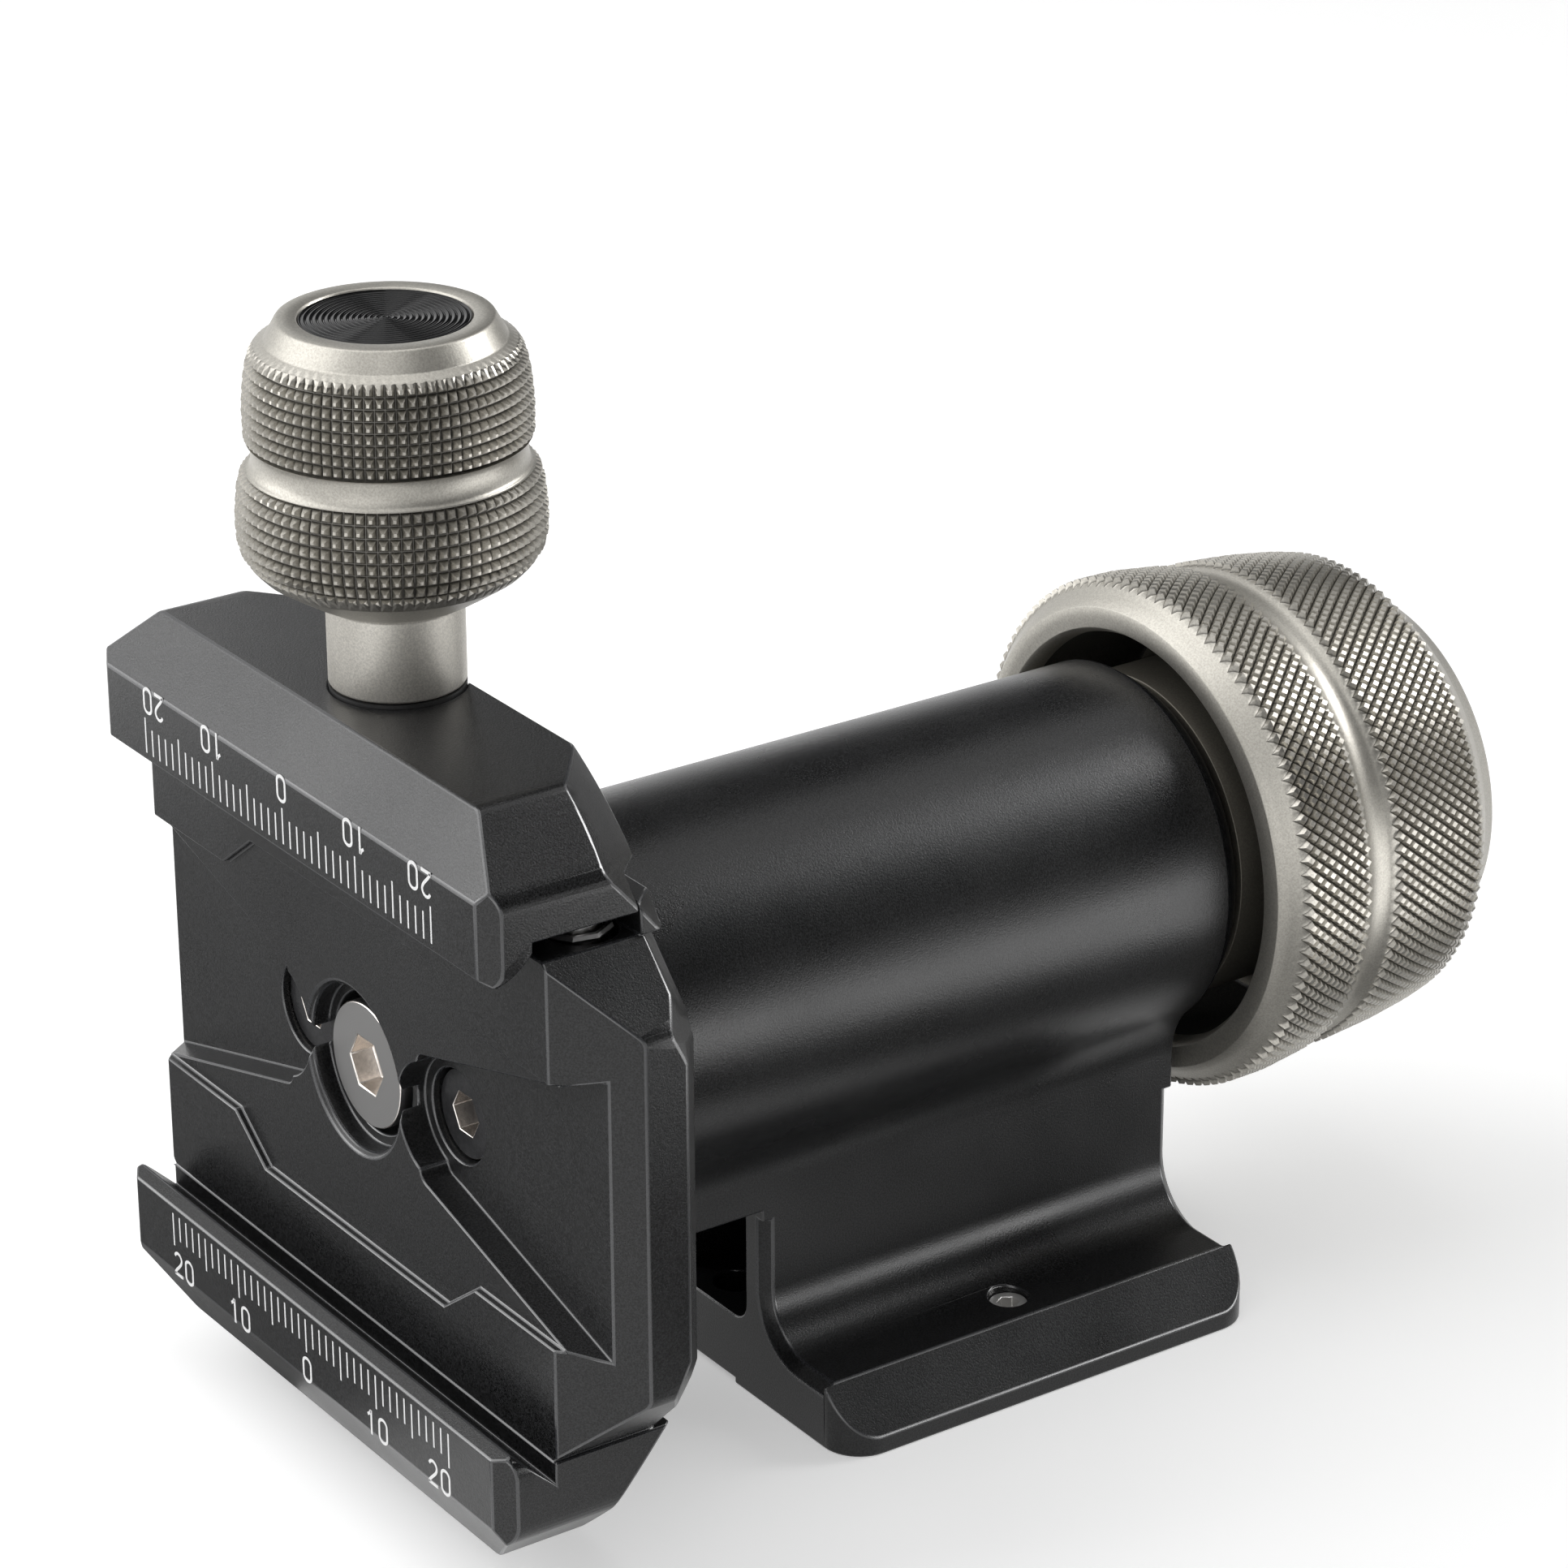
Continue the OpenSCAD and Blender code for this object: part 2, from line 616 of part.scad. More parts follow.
module clamp_body() color(black) in_head() difference() {
    union() {
        intersection() {
            union() {
                along_y(front_y, clamp_t) body_outline();
                along_y(rear_wall_y, clamp_t) translate([-side_x + seat_gap, 0])
                    square([2 * (side_x - seat_gap), rear_wall_z]);
            }
            plan_prism(0, body_x, body_bevel);
            union() {
                intersection() {
                    plan_prism(45, corner_d, 0);
                    plan_prism(-45, corner_d, 0);
                }
                translate([-side_x, 0, body_top_z]) cube([2 * side_x, clamp_t, jaw_z]);
                translate([-side_x, 0, -jaw_z]) cube([2 * side_x, clamp_t, jaw_z - body_top_z]);
            }
            rear_cone();
        }
        mirror([0, 0, 1]) jaw_blank(0) fixed_jaw_profile();
    }
    along_y(front_y - over, web_y) web_outline();
    for (side = [-1, 1]) scale([side, 1, 1]) along_y(front_y - over, wedge_y) wedge_outline();
    centre_hole();
    for (side = [-1, 1]) translate([side * flange_screw_x, 0, 0]) flange_screw_hole();
    spigot_seat();
    translate([0, screw_y, screw_floor_z]) cylinder(r = screw_r + fit_gap, h = jaw_z, $fn = small_fn);
    for (side = [-1, 1]) translate([side * pin_x, pin_y, 0]) {
        translate([0, 0, body_top_z - pin_hole_d]) cylinder(r = pin_r + fit_gap, h = jaw_z, $fn = small_fn);
        translate([0, 0, spring_floor_z]) cylinder(r = spring_hole_r, h = jaw_z, $fn = small_fn);
    }
}

// Stepped hole for the centre screw, with a chamfered mouth
mouth_chamfer = 0.35;
module centre_hole() {
    edge = counterbore_r + mouth_chamfer;
    bar_y(counterbore_r, front_y, centre_face_y + web_d);
    bar_y(centre_head_r + web_d, front_y, centre_face_y + centre_head_h, small_fn);
    bar_y(centre_shank_r + fit_gap, front_y, clamp_t + over, small_fn);
    about_tilt() polygon([[0, web_y - over], [edge + over, web_y - over], [edge, web_y],
        [counterbore_r, web_y + mouth_chamfer], [0, web_y + mouth_chamfer]]);
}

// Stepped hole for one flange screw, with the scallop round its mouth
scallop_w = 1.2;
flange_head_gap = 0.2;
flange_head_y = wedge_y + web_d;
module flange_screw_hole() {
    bar_y(flange_head_r + scallop_w, front_y - over, wedge_y, small_fn);
    bar_y(flange_head_r + flange_head_gap, front_y, flange_head_y + flange_head_h, small_fn);
    bar_y(flange_shank_r + fit_gap, front_y, clamp_t + over, small_fn);
}

// Seat of the shaft's spigot in the back of the body
spigot_r = shaft_r;
spigot_h = 2;
module spigot_seat() bar_y(spigot_r + seat_gap, clamp_t - spigot_h - seat_gap, clamp_t + over);

// Length of the centre screw, and the heights of the clamp screw, guide pins and springs
centre_screw_end_y = flange_back_y + 3 * centre_shank_r;
pin_grip = 3.8;
screw_floor_z = counterbore_r + web_d + stop_gap;
screw_end_z = screw_floor_z + jaw_close + stop_gap;
pin_low_z = body_top_z - pin_hole_d + jaw_close + stop_gap;
pin_top_z = vee_z + pin_grip;
spring_floor_z = body_top_z - spring_seat_d;
spring_hole_r = coil_r + wire_r + stop_gap;

module centre_screw() color(steel) in_head() difference() {
    union() {
        bar_y(centre_head_r, centre_face_y, centre_face_y + centre_head_h - seat_gap, small_fn);
        bar_y(centre_shank_r, centre_face_y, centre_screw_end_y, small_fn);
    }
    socket_y(centre_socket_w, centre_face_y, centre_head_h * socket_share);
}

module flange_screws() color(dark_steel) in_head() for (side = [-1, 1])
    translate([side * flange_screw_x, 0, 0]) difference() {
        union() {
            bar_y(flange_head_r, flange_head_y, flange_head_y + flange_head_h - seat_gap, small_fn);
            bar_y(flange_shank_r, flange_head_y, flange_back_y - seat_gap, small_fn);
        }
        socket_y(flange_socket_w, flange_head_y, flange_head_h * socket_share);
    }

// Pins pressed into the moving jaw
module guide_pins() color(steel) in_head() for (side = [-1, 1])
    translate([side * pin_x, pin_y, pin_low_z])
        cylinder(r = pin_r, h = pin_top_z - pin_low_z, $fn = small_fn);

// The tilt shaft

thread_end_y = hub_front_y + knob_insert_l + knob_travel + stop_gap;
shoulder_r = inner_race_r - seat_gap;

module tilt_shaft() color(steel) in_head() difference() {
    union() {
        bar_y(flange_r, clamp_back_y, flange_back_y);
        bar_y(spigot_r, clamp_back_y - spigot_h, flange_back_y);
        bar_y(shoulder_r, clamp_back_y, front_bearing_y - seat_gap);
        bar_y(shaft_r, clamp_back_y, hub_front_y - face_gap);
        bar_y(thread_r, clamp_back_y, thread_end_y);
    }
    for (turn = [0, 180]) rotate([0, turn, 0]) translate([flat_x, tube_end_y, -shaft_r])
        cube([shaft_r, hub_front_y - tube_end_y + over, 2 * shaft_r]);
    bar_y(centre_shank_r + fit_gap, clamp_back_y - spigot_h - over, centre_screw_end_y + over, small_fn);
    for (side = [-1, 1]) translate([side * flange_screw_x, 0, 0])
        bar_y(flange_shank_r + fit_gap, clamp_back_y - over, flange_back_y + over, small_fn);
    bar_y(stop_screw_r + fit_gap, thread_end_y - stop_screw_l - over, thread_end_y + over, small_fn);
}

// Half width of the shaft across the flats that key the thrust washer
flat_x = 5.4;
stop_screw_r = 2;
stop_screw_l = 10;
stop_head_r = 3.8;
stop_head_h = 1.6;
stop_washer_r = 6.4;
stop_washer_t = 1;
stop_head_y = thread_end_y + stop_washer_t;

// Spacer sleeve between the inner rings
module bearing_spacer() color(steel) in_head()
    ring_y(inner_race_r, shaft_r + seat_gap, front_bearing_y + bearing_w + seat_gap,
        rear_bearing_y - seat_gap);

module shaft_stop_washer() color(steel) in_head()
    ring_y(stop_washer_r, stop_screw_r + fit_gap, thread_end_y, stop_head_y);

module shaft_stop_screw() color(dark_steel) in_head() difference() {
    union() {
        bar_y(stop_head_r, stop_head_y, stop_head_y + stop_head_h, small_fn);
        bar_y(stop_screw_r, thread_end_y - stop_screw_l, stop_head_y, small_fn);
    }
    translate([0, stop_head_y + stop_head_h + over, 0]) rotate([90, 0, 0])
        cylinder(d = stop_head_r / cos(30), h = stop_head_h * socket_share + over, $fn = 6);
}

// The moving jaw

neck_washer_t = 1.15;
neck_washer_seat = 0.9;

// Lip, relief and rabbet of the moving jaw
module moving_jaw_profile() {
    slope = (vee_z - lip_in_z) / (front_y - lip_y);
    rabbet_y = rear_wall_y - stop_gap / 2;
    polygon([[0, lip_z], [lip_y, lip_in_z], [relief_y, lip_in_z + slope * (relief_y - lip_y)],
        [relief_y, vee_z], [rabbet_y, vee_z], [rabbet_y, rear_wall_z + body_top_relief],
        [clamp_t, rear_wall_z + body_top_relief], [clamp_t, jaw_z], [brow_y, jaw_z], [0, scale_z]]);
}
body_top_relief = vee_z - body_top_z;

module moving_jaw() color(black) in_head() difference() {
    jaw_blank(0) moving_jaw_profile();
    translate([0, screw_y, 0]) cylinder(r = screw_r + stop_gap, h = 2 * jaw_z, $fn = small_fn);
    translate([0, screw_y, jaw_z - neck_washer_seat])
        cylinder(r = neck_r + seat_gap, h = over * 2, $fn = small_fn);
    for (side = [-1, 1]) translate([side * pin_x, pin_y, 0])
        cylinder(r = pin_r + seat_gap, h = pin_top_z + seat_gap, $fn = small_fn);
}

module knob_neck_washer() color(polymer) in_head() translate([0, screw_y, jaw_z - neck_washer_seat])
    difference() {
        cylinder(r = neck_r, h = neck_washer_t, $fn = small_fn);
        translate([0, 0, -over])
            cylinder(r = screw_r + stop_gap, h = neck_washer_t + 2 * over, $fn = small_fn);
    }

// Springs round the guide pins

spring_low_z = spring_floor_z + seat_gap + wire_r;
spring_high_z = vee_z - seat_gap - wire_r;
rings_per_curl = 8;
wire_sides = 6;
coil_pitch = (spring_high_z - spring_low_z) / curls;

// Point of the spring's centre line at ring i
function coil_point(i) = let(a = 360 * i / rings_per_curl)
    [coil_r * cos(a), coil_r * sin(a), spring_low_z + coil_pitch * i / rings_per_curl];

// Points of the wire's outline round ring i
function coil_ring(i) = let(a = 360 * i / rings_per_curl, p = coil_point(i))
    [for (k = [0:wire_sides - 1]) let(b = 360 * k / wire_sides)
        p + wire_r * [cos(a) * cos(b), sin(a) * cos(b), sin(b)]];

module coil_spring() {
    n = curls * rings_per_curl;
    s = wire_sides;
    points = [for (i = [0:n]) each coil_ring(i)];
    walls = [for (i = [0:n - 1], k = [0:s - 1]) let(a = i * s + k, b = i * s + (k + 1) % s)
        each [[a, b, b + s], [a, b + s, a + s]]];
    ends = [for (k = [1:s - 2]) each [[0, k + 1, k], [n * s, n * s + k, n * s + k + 1]]];
    polyhedron(points, concat(walls, ends));
}

module jaw_springs() color(steel) in_head() for (side = [-1, 1])
    translate([side * pin_x, pin_y, 0]) coil_spring();

// Least gap between neighbouring curls, measured on the points of two rings one curl apart
spring_gap = min([for (p = coil_ring(0), q = coil_ring(rings_per_curl)) norm(p - q)]);
echo(spring_gap = spring_gap);

// The clamp knob

neck_low_z = jaw_z - neck_washer_seat + neck_washer_t + face_gap;
knob_low_z = neck_low_z + neck_h;
knob_top_z = knob_low_z + clamp_knob_h;
cap_t = 1.2;
screw_head_r = 5;
screw_head_h = 5;

// Turned outline of the clamp knob as shares of its widest radius and of its height
clamp_knob_shares = [[0.532, 0.012], [0.853, 0.126], [0.95, 0.185], [0.99, 0.26], [1, 0.335], [0.985, 0.42],
    [0.95, 0.478], [0.905, 0.492], [0.885, 0.54], [0.9, 0.585], [0.926, 0.6], [0.93, 0.7], [0.915, 0.79],
    [0.884, 0.874], [0.845, 0.902], [0.774, 0.928], [0.694, 1]];

module clamp_knob() color(champagne) in_head() translate([0, screw_y, 0]) difference() {
    rotate_extrude($fn = turn_fn) polygon(concat(
        [[0, neck_low_z], [neck_r, neck_low_z], [neck_r, knob_low_z]],
        [for (p = clamp_knob_shares) [clamp_knob_r * p.x, knob_low_z + clamp_knob_h * p.y]],
        [[0, knob_top_z]]));
    translate([0, 0, neck_low_z - over]) cylinder(r = screw_r + seat_gap, h = jaw_z, $fn = small_fn);
    translate([0, 0, knob_top_z - cap_t - screw_head_h]) cylinder(r = screw_head_r + seat_gap, h = jaw_z,
        $fn = small_fn);
    translate([0, 0, knob_top_z - cap_t]) cylinder(r = cap_r + seat_gap, h = jaw_z, $fn = small_fn);
}

// Black cap with fine rings turned into its top
cap_grooves = 6;
groove_depth = 0.15;
module clamp_knob_cap() color(black) in_head() translate([0, screw_y, knob_top_z - cap_t + seat_gap])
    difference() {
        cylinder(r = cap_r, h = cap_t - 2 * seat_gap, $fn = small_fn);
        for (i = [1:cap_grooves]) translate([0, 0, cap_t - groove_depth]) difference() {
            cylinder(r = cap_r * (2 * i + 1) / (2 * cap_grooves + 2), h = over, $fn = small_fn);
            translate([0, 0, -over])
                cylinder(r = cap_r * i / (cap_grooves + 1), h = 3 * over, $fn = small_fn);
        }
    }

module clamp_screw() color(steel) in_head() translate([0, screw_y, 0]) difference() {
    union() {
        translate([0, 0, screw_end_z]) cylinder(r = screw_r, h = knob_top_z - cap_t - over - screw_end_z,
            $fn = small_fn);
        translate([0, 0, knob_top_z - cap_t - screw_head_h + seat_gap]) cylinder(r = screw_head_r,
            h = screw_head_h - over, $fn = small_fn);
    }
    translate([0, 0, knob_top_z - cap_t - screw_head_h / 2 - over]) cylinder(d = screw_head_r / cos(30),
        h = screw_head_h, $fn = 6);
}

// The tilt knob

module knob_thrust_washer() color(steel) in_head() difference() {
    bar_y(thrust_washer_r, thrust_washer_y, thrust_washer_y + thrust_washer_t);
    intersection() {
        bar_y(shaft_r + fit_gap, tube_end_y, hub_front_y + over);
        translate([-flat_x - fit_gap, tube_end_y, -2 * shaft_r]) cube([2 * (flat_x + fit_gap), bearing_w,
            4 * shaft_r]);
    }
}

// Turned outline of the tilt knob as shares of its widest radius and of its length. The hub's skirt
// reaches over the washers, so that only its smooth side shows between the knob and the tube
tilt_knob_shares = [[0.906, 0], [1, 0.073], [0.998, 0.18], [0.976, 0.321], [0.954, 0.33], [0.932, 0.36],
    [0.924, 0.395], [0.934, 0.43], [0.958, 0.449], [0.96, 0.46], [0.944, 0.62], [0.92, 0.75],
    [0.892, 0.819], [0.86, 0.847], [0.752, 0.937], [0.708, 0.996], [0.7, 1]];
cup_depth = 12.5;
cup_floor_y = tilt_knob_y + cup_depth;
cup_chamfer = 0.6;
cup_mouth_d = 0.85;
hub_skirt_r = thrust_washer_r + stop_gap;
hub_skirt_y = tube_end_y + 2 * face_gap;
knob_insert_r = 8;
knob_recess_r = 9;
knob_cap_r = 11;
knob_cap_t = 1.2;
knob_back_y = tilt_knob_y + tilt_knob_l;

module tilt_knob() color(champagne) in_head() about_tilt() difference() {
    polygon(concat([[0, hub_front_y], [hub_skirt_r, hub_front_y], [hub_skirt_r, hub_skirt_y],
        [hub_r, hub_skirt_y], [hub_r, cup_floor_y], [cup_r, cup_floor_y],
        [cup_r, tilt_knob_y + cup_mouth_d], [cup_r + cup_chamfer, tilt_knob_y]],
        [for (p = tilt_knob_shares) [tilt_knob_r * p.x, tilt_knob_y + tilt_knob_l * p.y]],
        [[0, knob_back_y]]));
    translate([-over, hub_front_y - over]) square([knob_insert_r + seat_gap + over, tilt_knob_l]);
    translate([-over, hub_front_y + knob_insert_l]) square([knob_recess_r + over, tilt_knob_l]);
    translate([-over, knob_back_y - knob_cap_t]) square([knob_cap_r + seat_gap + over, tilt_knob_l]);
}

module tilt_knob_insert() color(brass) in_head()
    ring_y(knob_insert_r, thread_r + fit_gap, hub_front_y, hub_front_y + knob_insert_l);

module tilt_knob_cap() color(black) in_head()
    bar_y(knob_cap_r, knob_back_y - knob_cap_t + seat_gap, knob_back_y - seat_gap);

arm_housing();
base_thread_insert();
base_set_screws();
front_bearing_outer_ring();
front_bearing_balls();
rear_bearing_outer_ring();
rear_bearing_balls();
bearing_snap_ring();
front_friction_disc();
rear_friction_washer();
clamp_body();
tilt_shaft();
centre_screw();
flange_screws();
guide_pins();
front_bearing_inner_ring();
rear_bearing_inner_ring();
bearing_spacer();
shaft_stop_washer();
shaft_stop_screw();
moving_jaw();
jaw_springs();
knob_neck_washer();
clamp_knob();
clamp_knob_cap();
clamp_screw();
knob_thrust_washer();
tilt_knob();
tilt_knob_insert();
tilt_knob_cap();
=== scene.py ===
"""Looks of the gimbal head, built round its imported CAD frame.

Shapes are worked out in millimetres in the head's own frame, where y is measured back from the scale
face and z up from the tilt axis. place() brings them to the row frame, in metres.
"""

import json
import math

import bmesh
import bpy
import numpy as np
from mathutils import Matrix, Vector


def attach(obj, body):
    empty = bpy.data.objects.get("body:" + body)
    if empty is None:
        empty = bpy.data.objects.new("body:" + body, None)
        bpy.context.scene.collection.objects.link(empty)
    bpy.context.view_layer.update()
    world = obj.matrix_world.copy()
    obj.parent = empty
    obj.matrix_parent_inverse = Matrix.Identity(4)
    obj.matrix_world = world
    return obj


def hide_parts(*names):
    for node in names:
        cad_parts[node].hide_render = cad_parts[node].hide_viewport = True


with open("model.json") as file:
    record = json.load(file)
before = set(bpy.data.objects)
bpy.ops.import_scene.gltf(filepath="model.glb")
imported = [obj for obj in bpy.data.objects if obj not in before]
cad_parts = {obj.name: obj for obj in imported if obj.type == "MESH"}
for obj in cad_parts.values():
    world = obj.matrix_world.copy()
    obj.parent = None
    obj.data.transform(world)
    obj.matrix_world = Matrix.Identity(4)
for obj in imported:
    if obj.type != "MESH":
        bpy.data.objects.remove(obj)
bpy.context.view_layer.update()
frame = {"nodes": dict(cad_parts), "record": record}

MM = 0.001
TURN = 2 * math.pi
# In the row frame the scale face is REACH in front of the base's middle, and the tilt axis AXIS_H above it
REACH, AXIS_H = 54.4, 33.8
# How far the clamp knob's axis and the flange screws' axes are from the scale face and from the middle
KNOB_Y, FLANGE_SCREW_X = 9.73, 10.75
# The point that the lamps and cards face
MIDDLE = Vector((0, -0.005, 0.035))
# Strength of the world's plain light, and of the white that the floor adds for the camera and reflections
PLAIN, FLOOR_GLOW = 0.45, 0.36


# Materials


def node_of(tree, kind, **values):
    """A shader node with the given socket values."""
    node = tree.nodes.new(kind)
    for name, value in values.items():
        node.inputs[name.replace("_", " ")].default_value = value
    return node


def shell(name, colour, roughness, metallic=0.0, specular=0.5):
    """A material with one Principled shader, and that shader."""
    made = bpy.data.materials.new(name)
    made.use_nodes = True
    made.diffuse_color = (*colour, 1)
    shader = made.node_tree.nodes["Principled BSDF"]
    shader.inputs["Base Color"].default_value = (*colour, 1)
    shader.inputs["Roughness"].default_value = roughness
    shader.inputs["Metallic"].default_value = metallic
    shader.inputs["Specular IOR Level"].default_value = specular
    return made, shader


def grained(name, colour, roughness, grain, spread, bump, rough_spread=0.06, **finish):
    """Blasted or moulded finish: fine noise of the size grain, in metres, shifts the colour by the share
    spread and lifts the surface by bump, in metres. A broad noise shifts the roughness by rough_spread."""
    # Levels of the fine noise with the darkest and lightest grain, then the broad noise's scale and the levels
    # with the least and greatest roughness
    grain_from, grain_to = 0.36, 0.66
    clouds, clouds_from, clouds_to = 60.0, 0.3, 0.7
    made, shader = shell(name, colour, roughness, **finish)
    tree = made.node_tree
    link = tree.links.new
    where = tree.nodes.new("ShaderNodeTexCoord").outputs["Object"]
    fine = node_of(tree, "ShaderNodeTexNoise", Scale=1 / grain, Detail=2.0, Roughness=0.7)
    broad = node_of(tree, "ShaderNodeTexNoise", Scale=clouds, Detail=3.0, Roughness=0.5)
    link(where, fine.inputs["Vector"])
    link(where, broad.inputs["Vector"])
    ramp = tree.nodes.new("ShaderNodeValToRGB")
    dark, light = ramp.color_ramp.elements
    dark.position, light.position = grain_from, grain_to
    dark.color = (*[c * (1 - spread) for c in colour], 1)
    light.color = (*[min(1, c * (1 + spread)) for c in colour], 1)
    link(fine.outputs["Fac"], ramp.inputs["Fac"])
    link(ramp.outputs["Color"], shader.inputs["Base Color"])
    span = node_of(
        tree, "ShaderNodeMapRange", From_Min=clouds_from, From_Max=clouds_to,
        To_Min=roughness - rough_spread, To_Max=roughness + rough_spread,
    )
    link(broad.outputs["Fac"], span.inputs["Value"])
    link(span.outputs["Result"], shader.inputs["Roughness"])
    lift = node_of(tree, "ShaderNodeBump", Strength=1.0, Distance=bump)
    link(fine.outputs["Fac"], lift.inputs["Height"])
    link(lift.outputs["Normal"], shader.inputs["Normal"])
    return made


def with_dark_grooves(made, floor_shade, tip_shade):
    """The material, its colour multiplied by painted shade that darkens the grooves: it goes from floor_shade
    in the grooves to tip_shade on the teeth, after the mesh's own attribute "height"."""
    groove_to, tooth_from = 0.02, 0.38
    tree = made.node_tree
    shader = tree.nodes["Principled BSDF"]
    source = shader.inputs["Base Color"].links[0].from_socket
    height = tree.nodes.new("ShaderNodeAttribute")
    height.attribute_name = "height"
    ramp = tree.nodes.new("ShaderNodeValToRGB")
    groove, tooth = ramp.color_ramp.elements
    groove.position, tooth.position = groove_to, tooth_from
    groove.color = (floor_shade, floor_shade, floor_shade, 1)
    tooth.color = (tip_shade, tip_shade, tip_shade, 1)
    shade = tree.nodes.new("ShaderNodeMix")
    shade.data_type, shade.blend_type = "RGBA", "MULTIPLY"
    shade.inputs["Factor"].default_value = 1.0
    # Sockets 6 and 7 and output 2 are the node's colours
    link = tree.links.new
    link(height.outputs["Fac"], ramp.inputs["Fac"])
    link(source, shade.inputs[6])
    link(ramp.outputs["Color"], shade.inputs[7])
    link(shade.outputs[2], shader.inputs["Base Color"])
    return made


def turned_steel(name, colour, roughness, axis, **finish):
    """Machined face: rings of a wave texture round the axis, thin enough to read as turning marks, with the
    scale and the depth given here in metres."""
    marks, mark_depth = 1500.0, 0.0000015
    made, shader = shell(name, colour, roughness, **finish)
    tree = made.node_tree
    link = tree.links.new
    where = tree.nodes.new("ShaderNodeTexCoord").outputs["Object"]
    rings = node_of(tree, "ShaderNodeTexWave", Scale=marks, Distortion=1.5, Detail=2.0)
    rings.wave_type = "RINGS"
    rings.rings_direction = axis
    spot = tree.nodes.new("ShaderNodeMapping")
    spot.inputs["Location"].default_value = (0, 0, -AXIS_H * MM) if axis == "Y" else (0, 0, 0)
    link(where, spot.inputs["Vector"])
    link(spot.outputs["Vector"], rings.inputs["Vector"])
    lift = node_of(tree, "ShaderNodeBump", Strength=1.0, Distance=mark_depth)
    link(rings.outputs["Fac"], lift.inputs["Height"])
    link(lift.outputs["Normal"], shader.inputs["Normal"])
    return made


# After the name: colour, roughness, then the grain's size, spread and bump, or the axis of turned steel
BLACK = grained("anodised_black", (0.014, 0.0142, 0.0148), 0.29, 0.00014, 0.92, 0.000018, specular=0.4)
# The bevels of the black parts get a lighter, glossier black than their faces: painted highlight along the
# edges
BLACK_EDGE_PAINTED_HIGHLIGHT = grained("anodised_edge_painted_highlight", (0.03, 0.031, 0.034), 0.24, 0.0002, 0.3, 0.000002, specular=0.9)
CHAMPAGNE = grained("champagne", (0.4, 0.384, 0.346), 0.42, 0.00015, 0.14, 0.000008, metallic=0.78)
# The knurl's colour is darkened by painted shade in its grooves, after each point's height over their floor
KNURL = with_dark_grooves(
    grained("champagne_knurl", (0.38, 0.364, 0.328), 0.34, 0.00015, 0.14, 0.000002, metallic=0.85), 0.3, 1.0
)
# The clamp knob's neck has a lighter, less metallic copy of the champagne: painted light where the neck
# catches the lamps
NECK_PAINTED_LIGHT = grained("champagne_neck_painted_light", (0.66, 0.635, 0.58), 0.46, 0.00015, 0.14, 0.000008, metallic=0.6)
# Painted shade inside the tilt knob: a darker copy of the champagne on the hub, and near black in the cup
HUB_PAINTED_SHADE = grained("hub_painted_shade", (0.15, 0.14, 0.118), 0.4, 0.00015, 0.14, 0.000008, metallic=0.8)
BORE_PAINTED_SHADE = grained("bore_painted_shade", (0.025, 0.024, 0.021), 0.5, 0.00014, 0.8, 0.00001)
CAP = grained(
    "cap_black", (0.004, 0.004, 0.0045), 0.1, 0.0004, 0.2, 0.0000005, rough_spread=0.02, specular=0.22
)
STEEL = turned_steel("steel", (0.48, 0.475, 0.47), 0.3, "Y", metallic=1.0)
STEEL_Z = turned_steel("steel_upright", (0.8, 0.79, 0.77), 0.35, "Z", metallic=0.6)
DARK_STEEL = grained("blackened_steel", (0.03, 0.03, 0.032), 0.3, 0.0003, 0.3, 0.000002, metallic=0.3)
SOCKET = grained("socket_steel", (0.75, 0.71, 0.67), 0.25, 0.0003, 0.1, 0.000002, metallic=1.0)
POLYMER = grained("polymer", (0.02, 0.02, 0.02), 0.45, 0.0003, 0.2, 0.000002)
BRASS = grained("brass", (0.7, 0.5, 0.22), 0.3, 0.0003, 0.08, 0.000002, metallic=1.0)
PAINT = grained("scale_white", (0.86, 0.86, 0.86), 0.5, 0.0002, 0.04, 0.000002)


# Meshes


def place(points):
    """Points of the head's frame, in millimetres, as points of the row frame, in metres."""
    return (np.asarray(points, float) + (0, -REACH, AXIS_H)) * MM


def in_head(point):
    """A point of the row frame, in metres, as a point of the head's frame, in millimetres."""
    return point / MM + Vector((0, REACH, -AXIS_H))


def piece(name, points, faces, body, materials, paint=0, smooth=True, stands_for=(), height=None):
    """A closed surface from points in the head's frame and faces. paint and smooth may give each face its
    material and shading, and height each point's height over the grooves' floor, from 0 to 1."""
    merge = 1e-7
    mesh = bpy.data.meshes.new(name)
    mesh.from_pydata(place(points).tolist(), [], np.asarray(faces).tolist())
    # The knurl material paints shade into the grooves after this attribute
    if height is not None:
        heights = mesh.attributes.new("height", "FLOAT", "POINT")
        heights.data.foreach_set("value", np.ravel(height).astype(np.float32))
    count = len(mesh.polygons)
    mesh.polygons.foreach_set("material_index", np.broadcast_to(paint, count).astype(np.int32))
    mesh.polygons.foreach_set("use_smooth", np.broadcast_to(smooth, count).astype(bool))
    tidy = bmesh.new()
    tidy.from_mesh(mesh)
    bmesh.ops.remove_doubles(tidy, verts=tidy.verts, dist=merge)
    bmesh.ops.recalc_face_normals(tidy, faces=tidy.faces)
    tidy.to_mesh(mesh)
    tidy.free()
    for material in materials:
        mesh.materials.append(material)
    made = bpy.data.objects.new(name, mesh)
    bpy.context.scene.collection.objects.link(made)
    return dressed(made, body, stands_for)


def dressed(made, body, stands_for):
    """The piece rides on its body, and the CAD nodes that it stands for are hidden."""
    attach(made, body)
    if stands_for:
        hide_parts(*stands_for)
    return made


